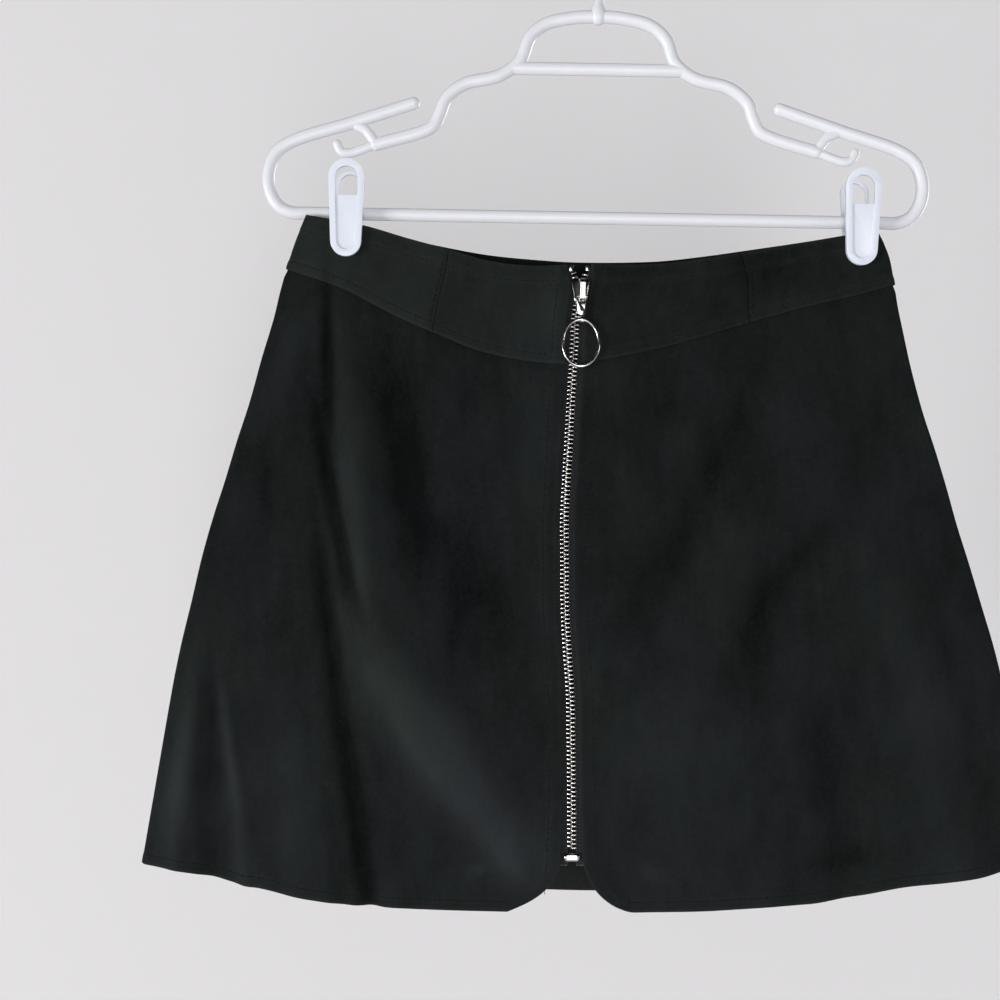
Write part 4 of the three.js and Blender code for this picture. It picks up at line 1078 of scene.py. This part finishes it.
@dataclass(frozen=True)
class Skirt:
    """The sewn skirt: eight cut pieces of suede and their topstitching, its sizes in millimetres.

    upright_left, upright_right and row_reach are places s: the front yoke's upright seams, and how
    near a row of stitches comes to the side folds.
    """

    shop: Workshop
    cloth: Cloth
    half_wall: float = 0.62
    cut_round: float = 1.2
    lap_lift: float = 0.38
    joint_gap: float = 0.04
    joint_dip: float = 0.25
    fold_gap: float = 0.03
    zip_clear: float = 15.0
    upright_row: float = 2.4
    upright_left: float = -0.475
    upright_right: float = 0.54
    under_lap: float = 6.0
    sink: float = 1.0
    stitch: float = 2.3
    pitch: float = 3.2
    thread: float = 0.2
    # Painted light on the inside faces near the hem, against the shade in the skirt's hollow: its amount,
    # where it starts and how far it rises
    painted_fill_inside: float = 0.42
    pale_from: float = -430.0
    pale_over: float = 160.0
    row_reach: float = 0.985

    def grid(self, piece: CutPiece) -> tuple[Array, Array]:
        """The places s and t of a piece's grid, settled in rounds because each edge leans on the other."""
        c = self.cloth
        rows, cols = piece.down.size(), piece.across.size()
        s = np.broadcast_to(np.linspace(-1, 1, cols), (rows, cols))
        t = np.broadcast_to(np.linspace(0, 1, rows)[:, None], (rows, cols))
        for _ in range(7):
            begin, end = piece.begin(t), piece.end(t)
            left = (np.minimum(end, 0) - np.minimum(begin, 0)) * c.half_width(-1, t)
            right = (np.maximum(end, 0) - np.maximum(begin, 0)) * c.half_width(1, t)
            s = lerp(begin, end, piece.across.spots(left + right, 1))
            top, foot = piece.top(s), piece.foot(s)
            t = lerp(top, foot, piece.down.spots((foot - top) * c.drop, 0))
        return s, t

    def surface(self, piece: CutPiece) -> tuple[Array, Array, Array, Array, Array]:
        """The outer and inner points of a piece, with its middle, its wear and its nap.

        The wall is rounded at its cut edges by a quarter circle, stands up where an edge is turned
        in, dips along each row of stitches, and at the yoke's seam the yoke laps over the panel.
        """
        c = self.cloth
        s, t = self.grid(piece)
        width = c.half_width(s, t)
        begin, end = piece.begin(t), piece.end(t)
        from_left = np.maximum((s - begin) * width, 0)
        from_right = np.maximum((end - s) * width, 0)
        from_top = np.maximum((t - piece.top(s)) * c.drop, 0)
        from_foot = np.maximum((piece.foot(s) - t) * c.drop, 0)
        nearest = np.minimum(np.minimum(from_left, from_right), np.minimum(from_top, from_foot))
        eased = 1 - np.clip(nearest / self.cut_round, 0, 1)
        body = np.sqrt(np.maximum(0.0, 1 - eased * eased))
        seam = (t - c.seam(piece.side, s)) * c.drop
        shift = np.zeros(s.shape)
        lift = np.zeros(s.shape)
        wear = np.zeros(s.shape)
        if piece.is_yoke:
            shift += self.lap_lift * (1 - smooth(3.0, 8.0, -seam))
            lift += LAP.lift(-seam)
            wear += LAP.wear(-seam)
        else:
            shift -= self.sink * (1 - smooth(0.0, 5.0, seam))
        zip_side = from_left if piece.zip_way > 0 else from_right
        edges = ((piece.is_yoke, WAIST_TURN, from_top), (not piece.is_yoke, HEM_TURN, from_foot),
                 (piece.zip_way, ZIP_TURN, zip_side))
        for is_turned, turning, distance in edges:
            if is_turned:
                lift += turning.lift(distance)
                wear += turning.wear(distance)
        if piece.upright:
            joint = from_left if piece.upright < 0 else from_right
            shift -= self.joint_dip * bump(joint, 0.0, 1.8)
        middle = c.middle(piece.side, s, t)
        normal = c.outward(piece.side, s, t)
        tone = c.nap_and_painted_fold_shade(piece.side, s, t, middle) + piece.tone
        middle = middle + normal * shift[..., None]
        outer = middle + normal * (body * (self.half_wall + lift))[..., None]
        inner = middle - normal * (body * self.half_wall)[..., None]
        border = np.ones(s.shape, bool)
        border[1:-1, 1:-1] = False
        inner[border] = outer[border]
        return outer, inner, middle, np.clip(wear, 0, 1), tone

    def stitches(self, row: StitchRow, side: Side, raise_by: float) -> Shape:
        """A row of stitches, each a short thread that rises from one hole and dips into the next.

        Along a stitch the thread's radius and its height over the cloth follow the sine of pi u.
        """
        c = self.cloth
        path = c.middle(side, row.s, row.t)
        normal = c.outward(side, row.s, row.t)
        run = np.r_[0, np.cumsum(np.linalg.norm(np.diff(path, axis=0), axis=1))]
        count = max(1, int(run[-1] / self.pitch))
        u = np.linspace(0, 1, 6)
        where = (np.arange(count) * run[-1] / count)[:, None] + self.stitch * u
        centre = np.stack([np.interp(where, run, path[:, k]) for k in range(3)], -1)
        out = unit(np.stack([np.interp(where, run, normal[:, k]) for k in range(3)], -1))
        arc = np.sin(np.pi * (0.06 + 0.88 * u))
        centre = centre + out * (raise_by - 0.05 + 0.22 * arc)[None, :, None]
        tangent = unit(centre[:, -1] - centre[:, 0])[:, None]
        beside = unit(np.cross(tangent, out))
        a = np.linspace(0, 2 * np.pi, 6, endpoint=False)
        ring = beside[:, :, None] * np.cos(a)[:, None] + out[:, :, None] * np.sin(a)[:, None]
        size = self.thread * np.sqrt(arc)
        return loft(centre[:, :, None] + ring * size[None, :, None, None])

    def sew(self, piece: CutPiece) -> None:
        """Makes a piece with its stitching."""
        outer, inner, middle, wear, tone = self.surface(piece)
        shape = wall(outer, inner)
        made = self.shop.piece(piece.name + "_cloth", shape, self.shop.suede, [piece.name])
        # Painted light on the inside faces near the hem, carried in the wear mark beside the real edge wear
        inside = np.clip((self.pale_from - middle[..., 2]) / self.pale_over, 0, 1) * self.painted_fill_inside
        for mark, grid, wrong_side in (("wear", wear, inside), ("nap_and_painted_fold_shade", tone, tone)):
            both = np.r_[grid.ravel(), wrong_side[1:-1, 1:-1].ravel()].astype(np.float32)
            made.data.attributes.new(mark, "FLOAT", "POINT").data.foreach_set("value", both)
        across = np.linalg.norm(np.diff(middle, axis=1), axis=-1).sum(1)
        down = np.linalg.norm(np.diff(middle, axis=0), axis=-1).sum(0)
        a = middle[1:, 1:] - middle[:-1, :-1]
        b = middle[1:, :-1] - middle[:-1, 1:]
        low, high = middle.min((0, 1)), middle.max((0, 1))
        flat = (max(across.max(), high[0] - low[0]), max(down.max(), high[2] - low[2]))
        for row in piece.rows:
            shape = self.stitches(row, piece.side, self.half_wall + 0.10)
            self.shop.piece(f"{piece.name}_{row.name}", shape, self.shop.thread)
        flat[0] * MM
        flat[1] * MM

    def pieces(self) -> list[CutPiece]:
        """All eight pieces with their edges, their grids and their rows of stitches."""
        c = self.cloth
        front, back = Side.FRONT, Side.BACK

        def fixed(value: float) -> Spread:
            """An edge at the same place all along."""
            return lambda x: np.full(np.shape(x), value)

        def shut(way: int) -> Spread:
            """The side fold, where front and back meet."""
            return lambda t: way * (1 - self.fold_gap / c.half_width(way, t))

        def edge(way: int) -> Spread:
            """The edge beside the zip."""
            return lambda t: c.zip_edge(way, t)

        def seam(side: Side, by: float) -> Spread:
            """A line by millimetres below the yoke's seam."""
            return lambda s: c.seam(side, s) + by / c.drop

        def in_order(way: int, outer: Any, inner: Any) -> tuple[Any, Any]:
            """Two things from left to right, of which the inner one is nearer the zip."""
            return (outer, inner) if way < 0 else (inner, outer)

        def across_row(name: str, s0: float, s1: float, line: Spread) -> StitchRow:
            """A row from side to side along a line of t."""
            s = np.linspace(s0, s1, 240)
            return StitchRow(name, s, line(s))

        def beside_zip(way: int, t0: float, t1: float) -> StitchRow:
            """The row that holds the turned edge beside the zip."""
            t = np.linspace(t0, t1, 300)
            plain = way * (c.opening(t) + ZIP_TURN.row) / c.half_width(way, t)
            return StitchRow("placket_stitches", plain, t)

        def rounded(k: Array) -> Array:
            """Rows bunched where the corner turns: even above it, then by the sine of the angle."""
            split = 0.86
            top = k / split * 0.905
            turn = 0.905 + 0.095 * np.sin(np.clip((k - split) / (1 - split), 0, 1) * np.pi / 2)
            return np.where(k < split, top, turn)

        waist_row = fixed(WAIST_TURN.row / c.drop)
        hem_row = fixed(1 - HEM_TURN.row / c.drop)
        lap_row = seam(front, -LAP.row)
        reach = self.row_reach
        under_yoke = CUT_EDGE + (6.5, 8.5)
        found: list[CutPiece] = []
        for way, name in ((-1, "left"), (1, "right")):
            upright = self.upright_left if way < 0 else self.upright_right
            gap = way * self.joint_gap / float(c.half_width(way, 0.06))
            near_zip = way * self.zip_clear / float(c.half_width(way, 0.05))
            ends = in_order(way, upright, near_zip)
            found.append(CutPiece(
                f"yoke_centre_{name}", front, *in_order(way, fixed(upright - gap), edge(way)),
                fixed(0.0), seam(front, 0.0), Rule(*in_order(way, CUT_EDGE, ZIP_EDGE), 46),
                Rule(WAIST_EDGE, LAP_EDGE, 22), True, zip_way=way, upright=way,
                tone=0.42 if way < 0 else 0.05,
                rows=(across_row("waist_stitches", *ends, waist_row),
                      across_row("lap_stitches", *ends, lap_row),
                      beside_zip(way, 0.004, 0.152)),
            ))
            ends = in_order(way, way * reach, upright + way * 0.005)
            upright_at = upright + way * self.upright_row / float(c.half_width(way, 0.06))
            along = np.linspace(0.004, 0.98, 120) * float(c.seam(front, upright_at))
            down_row = StitchRow("upright_stitches", np.full(120, upright_at), along)
            found.append(CutPiece(
                f"yoke_side_{name}", front, *in_order(way, shut(way), fixed(upright + gap)),
                fixed(0.0), seam(front, 0.0), Rule(CUT_EDGE, CUT_EDGE, 54),
                Rule(WAIST_EDGE, LAP_EDGE, 16), True, upright=-way,
                tone=0.58 if way < 0 else 0.15,
                rows=(across_row("waist_stitches", *ends, waist_row),
                      across_row("lap_stitches", *ends, lap_row), down_row),
            ))
            ends = in_order(way, way * reach, -0.125 if way < 0 else 0.115)
            found.append(CutPiece(
                f"front_panel_{name}", front, *in_order(way, shut(way), edge(way)),
                seam(front, -self.under_lap), fixed(1.0), Rule(*in_order(way, CUT_EDGE, ZIP_EDGE), 112),
                Rule(under_yoke, HEM_EDGE, 150, rounded), False, zip_way=way,
                rows=(across_row("hem_stitches", *ends, hem_row), beside_zip(way, 0.162, 0.975)),
            ))
        full = Rule(CUT_EDGE, CUT_EDGE, 190)
        found.append(CutPiece(
            "back_yoke", back, shut(-1), shut(1), fixed(0.0), seam(back, 0.0), full,
            Rule(WAIST_EDGE, LAP_EDGE, 16), True,
            rows=(across_row("waist_stitches", -reach, reach, waist_row),
                  across_row("lap_stitches", -reach, reach, seam(back, -LAP.row))),
        ))
        found.append(CutPiece(
            "back_panel", back, shut(-1), shut(1), seam(back, -self.under_lap), fixed(1.0), full,
            Rule(under_yoke, HEM_EDGE, 116), False,
            rows=(across_row("hem_stitches", -reach, reach, hem_row),),
        ))
        return found

    def build(self) -> None:
        """Sews every piece."""
        for piece in self.pieces():
            self.sew(piece)


# The zip

# How far down, and how many degrees the teeth turn about the zip's line
TWIST = (
    (0, 0), (0.2, 2), (0.3, 9), (0.39, 9), (0.43, 0), (0.52, 0), (0.57, 6), (0.65, 6), (0.70, 0), (1, 0),
)


@dataclass(frozen=True)
class Zip:
    """The zip: two woven tapes, two rows of cast teeth, its stops, its slider and its pull."""

    shop: Workshop
    cloth: Cloth
    frame: dict[str, Any]
    tape_inner: float = 2.6
    tape_outer: float = 14.0
    tape_depth: float = 1.75
    tape_half: float = 0.28
    tooth_pitch: float = 2.62
    chain_start: float = 0.0125
    chain_end: float = 0.9065
    stop_at: float = 0.9105
    stop_drop: float = 2.3
    pull_aside: float = 0.9
    part_above: float = 0.041
    part_slope: float = 0.24
    tape_end: float = 0.93
    ring_hinge: tuple[float, float, float] = (-13.2289, -18.9180, -257.1166)
    ring_wide: float = 11.15
    ring_high: float = 14.45
    lean: float = 3.94
    seat: tuple[float, float, float] = (-13.23, -14.73, -238.46)

    def twist(self, t: Any) -> Array:
        """How far in degrees the tape turns the teeth about the zip's line."""
        return columns(TWIST)[0](t)

    def parted(self, t: Any) -> Array:
        """How far the two rows part above the slider's middle."""
        return np.maximum(0.0, (self.part_above - t) * self.cloth.drop * self.part_slope)

    def tape(self, way: int, name: str) -> None:
        """A woven tape: a thin strip beside the zip's line, with a thicker cord at its inner edge."""
        t = np.linspace(0.004, self.tape_end, 260)
        x = np.array([0.0, 0.15, 0.5, 1.0, 1.5, 2.0, 3.0, 5.0, 7.5, 9.5, 10.6, 11.2, 11.4])
        thick = self.tape_half + 0.42 * bump(x, 0.55, 0.5)
        edge = np.clip(np.minimum(x, x[-1] - x) / 0.5, 0, 1)
        thick = thick * np.sqrt(1 - (1 - edge) ** 2)
        thick = np.repeat(thick[None], len(t), 0)
        thick[0], thick[-1] = 0, 0
        across = way * (self.tape_inner + x[None, :] + self.parted(t)[:, None])
        down = np.repeat(t[:, None], len(x), 1)
        outer = self.cloth.zip_point(down, across, self.tape_depth - thick)
        inner = self.cloth.zip_point(down, across, self.tape_depth + thick)
        shape = wall(outer, inner)
        made = self.shop.piece(f"zip_tape_{name}_cloth", shape, self.shop.tape, [f"zip_tape_{name}"])
        uv = np.stack([np.broadcast_to(x, down.shape), down * self.cloth.drop], -1) * MM
        every = np.vstack([uv.reshape(-1, 2), uv[1:-1, 1:-1].reshape(-1, 2)])
        loops = np.zeros(len(made.data.loops), int)
        made.data.loops.foreach_get("vertex_index", loops)
        layer = made.data.uv_layers.new(name="cut")
        layer.data.foreach_set("uv", every[loops].astype(np.float32).ravel())

    def teeth(self, way: int, name: str) -> None:
        """One row of teeth.

        A tooth is an outline of stem and rounded head, in rings from its domed front to its back,
        set square to the zip's line at even distances; the two rows lie half a pitch apart.
        """
        c = self.cloth
        count = int((self.chain_end - self.chain_start) * c.drop / self.tooth_pitch)
        step = self.tooth_pitch / c.drop
        t = self.chain_start + (np.arange(count) + (0.5 if way > 0 else 0.0)) * step
        half = np.array([(3.35, 0.30), (3.25, 0.56), (2.6, 0.66), (1.7, 0.62), (0.9, 0.50),
                         (0.3, 0.58), (-0.25, 0.60), (-0.68, 0.46), (-0.88, 0.16)])
        outline = np.vstack([half, half[::-1] * [1, -1]])
        middle = np.array([1.5, 0.0])
        depth = np.array([0.05, 0.12, 0.36, 0.85, 1.45, 2.35, 2.7])
        grow = np.array([[0.14, 0.25], [0.34, 0.55], [0.56, 0.82], [0.76, 0.95],
                         [1.0, 1.0], [1.0, 1.0], [0.93, 0.8]])
        section = middle + (outline - middle)[None] * grow[:, None]
        shift = way * self.parted(t)
        centre = c.zip_point(t, shift, 0.0)
        after, before = t + 2e-3, t - 2e-3
        down = unit(c.zip_point(after, way * self.parted(after), 0.0)
                    - c.zip_point(before, way * self.parted(before), 0.0))
        beside = unit(c.zip_point(t, shift + 1.0, 0.0) - c.zip_point(t, shift - 1.0, 0.0))
        inward = unit(np.cross(beside, down))
        inward = inward * np.sign(inward[:, 1:2])
        beside = unit(np.cross(down, inward))
        beside = beside * np.sign(beside[:, 0:1])
        lean = np.radians(self.twist(t))[:, None]
        turned = beside * np.cos(lean) + inward * np.sin(lean)
        inward = inward * np.cos(lean) - beside * np.sin(lean)
        beside = turned
        x = section[None, :, :, 0, None] * beside[:, None, None] * way
        y = section[None, :, :, 1, None] * down[:, None, None]
        z = depth[None, :, None, None] * inward[:, None, None]
        shape = loft(centre[:, None, None] + x + y + z)
        self.shop.piece(f"zip_teeth_{name}", shape, self.shop.teeth, [f"zip_chain_{name}"], crisp=38)

    def ring(self) -> None:
        """The pull's ring: a round wire, one millimetre in radius, along an oval below its hinge."""
        wide, high = self.ring_wide, self.ring_high
        a = np.linspace(0, 2 * np.pi, 120, endpoint=False)
        lean = math.radians(self.lean)
        across = np.array([1.0, 0.0, 0.0])
        up = np.array([0.0, math.sin(lean), math.cos(lean)])
        centre = np.array(self.ring_hinge) - up * high
        path = centre + wide * np.sin(a)[:, None] * across + high * np.cos(a)[:, None] * up
        tangent = unit(wide * np.cos(a)[:, None] * across - high * np.sin(a)[:, None] * up)
        square = np.cross(across, up)
        beside = np.cross(tangent, square)
        b = np.linspace(0, 2 * np.pi, 20, endpoint=False)
        wire = beside[:, None] * np.cos(b)[:, None] + square * np.sin(b)[:, None]
        shape = wrap(path[:, None] + wire)
        self.shop.piece("pull_ring_wire", shape, self.shop.metal, ["pull_ring"], "ring")

    def pill(self, half_wide: float, half_high: float, layers: Sequence[tuple[float, float]]) -> Array:
        """Rings of a bar with round ends in X and Z, each layer a depth and how far it is drawn in."""
        a = np.linspace(0, 2 * np.pi, 40, endpoint=False)
        straight = np.sign(np.cos(a)) * (half_wide - half_high)
        return np.array([np.stack([straight + (half_high - inset) * np.cos(a), np.full(40, depth),
                                   (half_high - inset) * np.sin(a)], -1) for depth, inset in layers])

    def bottom_stop(self) -> None:
        """The bottom stop: a crowned bar with round ends over both tapes, and its shank behind."""
        seat = self.cloth.zip_point(self.stop_at, 0.0, 0.0) - np.array([0.0, 0.0, self.stop_drop])
        crowned = [(-1.05, 1.7), (-0.98, 1.1), (-0.78, 0.5), (-0.45, 0.12), (-0.1, 0.0), (0.4, 0.0),
                   (0.55, 0.15)]
        cap = self.pill(4.9, 2.35, crowned)
        shank = self.pill(3.3, 2.2, [(0.3, 0.1), (2.6, 0.1), (2.8, 0.3)])
        shape = together([loft(seat + cap), loft(seat + shank)])
        self.shop.piece("bottom_stop_cast", shape, self.shop.metal, ["bottom_stop"], crisp=42)

    def set_down(self, local: Array) -> Array:
        """Points of the slider's own frame put where it sits: leaned about X and moved to its seat."""
        a = math.radians(-self.lean)
        y = local[..., 1] * math.cos(a) - local[..., 2] * math.sin(a)
        z = local[..., 1] * math.sin(a) + local[..., 2] * math.cos(a)
        return np.stack([local[..., 0], y, z], -1) + np.array(self.seat)

    def shield(self, layers: Sequence[tuple[float, float, float]]) -> Shape:
        """A slider plate in rings, each layer a depth, a share of its width and a share of its height."""
        z = np.array([-7.6, -7.3, -6.4, -4.5, -2.0, 0.5, 3.0, 5.2, 6.6, 7.35, 7.6])
        w = np.array([2.4, 3.4, 4.0, 4.25, 4.55, 5.0, 5.4, 5.6, 5.3, 4.4, 2.9])
        outline = np.vstack([np.stack([w, z], -1), np.stack([-w, z], -1)[::-1]])
        rings = [np.stack([outline[:, 0] * wide, np.full(len(outline), depth), outline[:, 1] * high], -1)
                 for depth, wide, high in layers]
        return loft(self.set_down(np.array(rings)))

    def crown(self) -> Shape:
        """The slider's bridge: a ribbed strap over a rounded rectangle in Y and Z, leaning to the right.

        The strap's section has a rim on either side of a middle bar; its lean grows with its height.
        """
        h, r, low_front, high_front, back = 6.6, 2.2, -4.6, -5.45, -1.5
        a = np.linspace(0, np.pi / 2, 9)
        low = np.stack([low_front + r - r * np.sin(a), -h + r - r * np.cos(a)], -1)
        high = np.stack([high_front + r - r * np.cos(a), h - r + r * np.sin(a)], -1)
        line = np.vstack([[back, -h], low, high, [back, h]])
        path = evenly(np.stack([np.zeros(len(line)), line[:, 0], line[:, 1]], -1), 0.5)
        along = unit(np.gradient(path, axis=0))
        out = np.stack([np.zeros(len(path)), -along[:, 2], along[:, 1]], -1)
        across = np.array([-1.65, -1.55, -1.35, -1.25, -0.9, -0.65, 0.65, 0.9, 1.25, 1.35, 1.55, 1.65,
                           1.65, 1.3, -1.3, -1.65])
        up = np.array([0.25, 0.4, 0.4, 0.0, 0.0, 0.5, 0.5, 0.0, 0.0, 0.4, 0.4, 0.25,
                       -0.3, -0.5, -0.5, -0.3])
        rings = path[:, None] + out[:, None] * up[:, None]
        rings = rings + np.array([1.0, 0.0, 0.0]) * across[:, None]
        rings[..., 0] += 0.35 + 0.95 * np.clip((-1.7 - rings[..., 1]) / 3.8, 0, 1)
        return loft(self.set_down(rings))

    def slider(self) -> None:
        """The slider: a crowned front plate, its bridge, the neck between the rows and a rear plate."""
        dome = [(-2.05, 0.35, 0.5), (-1.98, 0.62, 0.76), (-1.78, 0.84, 0.90), (-1.45, 0.96, 0.975),
                (-1.1, 1.0, 1.0), (-0.2, 1.0, 1.0), (-0.1, 0.97, 0.985)]
        rear = [(3.1, 0.97, 0.985), (3.2, 1.0, 1.0), (3.9, 1.0, 1.0), (4.2, 0.92, 0.95)]
        z = np.array([3.0, 5.8, 7.2])
        wide = np.array([0.3, 1.0, 1.0])
        corner = np.array([(-1, -0.3), (1, -0.3), (1, 3.3), (-1, 3.3)])
        neck = np.stack([corner[None, :, 0] * wide[:, None], np.repeat(corner[None, :, 1], 3, 0),
                         np.repeat(z[:, None], 4, 1)], -1)
        parts = [self.shield(dome), self.shield(rear), self.crown(), loft(self.set_down(neck))]
        self.shop.piece("slider_cast", together(parts), self.shop.metal, ["slider"], crisp=42)

    def build(self) -> None:
        """Makes all of the zip."""
        nodes = self.frame["nodes"]
        for way, name in ((-1, "left"), (1, "right")):
            self.tape(way, name)
            self.teeth(way, name)
            stop = nodes[f"top_stop_{name}"]
            self.shop.eased(f"top_stop_{name}_cast", stop, self.shop.metal, "root", 0.35)
        self.bottom_stop()
        self.slider()
        tab = nodes["pull_tab"]
        self.shop.eased("pull_tab_cast", tab, self.shop.metal, "pull", 0.25, self.pull_aside)
        self.ring()


# The hanger

ARCH = (
    (0, -64), (16.5, -65), (33.4, -69.4), (42.9, -77.9), (48.6, -92), (61, -101.8),
    (83.5, -107.8), (94.8, -117), (98.7, -127), (102.6, -134.4), (110, -138.4), (138.7, -146.8),
)
STRAP_CATCH = ((138.7, -146.8), (155.6, -152.6), (160.6, -151.6), (163, -147))
END_LOOP = (
    (184.3, -190.8), (189.5, -190.8), (198, -187.6), (204.2, -179), (206, -166.5),
    (201.6, -153.6), (192, -146), (154, -133.4), (115.3, -120.5),
)
BRANCH = ((151.5, -134.5), (145, -138), (139, -146))


@dataclass(frozen=True)
class Hanger:
    """The white hanger: round rods moulded in one, a hook, and two clips on its long bar."""

    shop: Workshop
    frame: dict[str, Any]
    tilt: float = 1.0
    tube: float = 4.0
    catch_tube: float = 2.9
    branch_tube: float = 3.2
    hook_tube: float = 3.1
    hook_inner: float = 19.0
    bar_height: float = -190.8
    bar_half: float = 183.8
    grip_height: float = -97.2
    grip_half: float = 53.0

    def leaned(self, rings: Array) -> Array:
        """The points turned about Y by the hanger's lean."""
        a = math.radians(self.tilt)
        x = rings[..., 0] * math.cos(a) + rings[..., 2] * math.sin(a)
        z = rings[..., 2] * math.cos(a) - rings[..., 0] * math.sin(a)
        return np.stack([x, rings[..., 1], z], -1)

    def rod(self, name: str, points: Sequence[Sequence[float]], radius: Any, nodes: Sequence[str],
            step: float = 1.6) -> None:
        """A rod of the frame along a path in X and Z."""
        path = along_path(points, step)
        size = radius(path) if callable(radius) else radius
        self.shop.piece(name, loft(self.leaned(rod(path, size))), self.shop.hanger, nodes)

    def build(self) -> None:
        """Makes the rods, the hook and the clips."""
        mirrored = [(-x, z) for x, z in ARCH[:0:-1]]
        self.rod("hanger_arch_rod", mirrored + list(ARCH), self.tube, ["hanger_arch"])
        ends = self.bar_half + 1.0
        bar = [(-ends, self.bar_height), (0, self.bar_height), (ends, self.bar_height)]
        self.rod("hanger_bar_rod", bar, self.tube, ["hanger_bar"])
        half, height = self.grip_half, self.grip_height
        grip = [(-half, height), (0, height), (half, height)]
        self.rod("hanger_grip_rod", grip, self.tube, ["hanger_grip"])
        for way, name in ((-1, "left"), (1, "right")):
            for part, points, size in (("end", END_LOOP, self.tube), ("catch", STRAP_CATCH, self.catch_tube),
                                       ("branch", BRANCH, self.branch_tube)):
                place = [(way * x, z) for x, z in points]
                self.rod(f"hanger_{part}_{name}_rod", place, size, [f"hanger_{part}_{name}"])
        line = self.hook_inner + self.hook_tube
        angle = np.radians(np.linspace(-52, 198, 12))
        arc = [(line * math.cos(a), -self.hook_inner + line * math.sin(a)) for a in angle]

        def flared(path: Array) -> Array:
            """The hook's radius, wider where it grows out of the arch."""
            return self.hook_tube + 2.1 * (1 - smooth(-63.0, -54.0, path[:, 2]))

        self.rod("hanger_hook_rod", [(0, -64), (0, -56), (3.6, -46), *arc], flared, ["hanger_hook"], 1.2)
        for name in ("left", "right"):
            for part in ("front_jaw", "back_jaw", "saddle"):
                node = self.frame["nodes"][f"clip_{name}_{part}"]
                self.shop.eased(f"clip_{name}_{part}_moulded", node, self.shop.clip, "root", 0.55)


# The room


@dataclass(frozen=True)
class Lamp:
    """A soft light: its place, its size in metres across and up, its watts and its colour."""

    name: str
    place: tuple[float, float, float]
    size: tuple[float, float]
    watts: float
    colour: tuple[float, float, float]

    def make(self, aim: Sequence[float]) -> None:
        """Puts the light in the room, turned to the aim."""
        data = bpy.data.lights.new(self.name, "AREA")
        data.shape = "RECTANGLE"
        data.size, data.size_y = self.size
        data.energy, data.color = self.watts, self.colour
        lamp = placed(self.name, data)
        lamp.location = [x * MM for x in self.place]
        toward = Vector([b - a for a, b in zip(self.place, aim)])
        lamp.rotation_euler = toward.to_track_quat("-Z", "Y").to_euler()


LAMPS = (
    Lamp("window", (-6500, -3700, -1300), (2.2, 2.2), 310, (1.0, 0.995, 0.985)),
    Lamp("doorway", (120, -3300, -1050), (0.8, 2.4), 33, (1.0, 0.995, 0.99)),
    Lamp("far_window", (3400, -1500, -200), (0.8, 0.8), 14, (0.97, 0.98, 1.0)),
    Lamp("back_room", (2200, 3000, 400), (1.6, 1.6), 75, (1.0, 1.0, 1.0)),
)


@dataclass(frozen=True)
class Studio:
    """A pale wall behind, a pale floor below, soft light and the camera."""

    camera: tuple[float, float, float] = (-63.0, -850.0, -368.3)
    lens: float = 48.57
    aim: tuple[float, float, float] = (-20.0, 0.0, -380.0)
    wall_y: float = 500.0
    wall_half: float = 4000.0
    wall_top: float = 3000.0
    floor_z: float = -2500.0
    floor_half: float = 30000.0

    def sheet(self, name: str, corners: Sequence[Sequence[float]], finish: Paint) -> Any:
        """One flat surface of the room."""
        mesh = bpy.data.meshes.new(name)
        mesh.from_pydata([[x * MM for x in corner] for corner in corners], [], [(0, 1, 2, 3)])
        mesh.materials.append(finish.make())
        made = placed(name, mesh)
        return made

    def build(self) -> None:
        """Sets the room up."""
        x, y, z, top = self.wall_half, self.wall_y, self.floor_z, self.wall_top
        wall_corners = [(-x, y, z), (x, y, z), (x, y, top), (-x, y, top)]
        made = self.sheet("wall", wall_corners, Paint("wall_paint", (0.765, 0.752, 0.762), True))
        made.visible_diffuse = made.visible_glossy = made.visible_shadow = False
        x = self.floor_half
        floor_corners = [(-x, -x, z), (x, -x, z), (x, x, z), (-x, x, z)]
        self.sheet("floor", floor_corners, Paint("floor_paint", (0.72, 0.71, 0.71)))
        world = bpy.data.worlds.new("room")
        world.use_nodes = True
        back = world.node_tree.nodes["Background"]
        back.inputs["Color"].default_value = (0.97, 0.98, 1.0, 1.0)
        back.inputs["Strength"].default_value = 0.44
        world.cycles_visibility.glossy = False
        bpy.context.scene.world = world
        for lamp in LAMPS:
            lamp.make(self.aim)
        data = bpy.data.cameras.new("camera")
        data.lens, data.sensor_width = self.lens, 36.0
        data.clip_start, data.clip_end = 0.01, 50.0
        camera = placed("camera", data)
        camera.location = [x * MM for x in self.camera]
        camera.rotation_euler = (math.pi / 2, 0.0, 0.0)
        bpy.context.scene.camera = camera
        bpy.context.scene.view_settings.view_transform = "Standard"
        bpy.context.scene.view_settings.look = "None"


def main() -> None:
    """Loads the frame and builds every part around it."""
    logging.basicConfig(level=logging.INFO, format="%(name)s %(message)s")
    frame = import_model()
    shop = Workshop()
    cloth = Cloth()
    Skirt(shop, cloth).build()
    Zip(shop, cloth, frame).build()
    Hanger(shop, frame).build()
    Studio().build()
    bpy.context.view_layer.update()


if __name__ == "__main__":
    main()
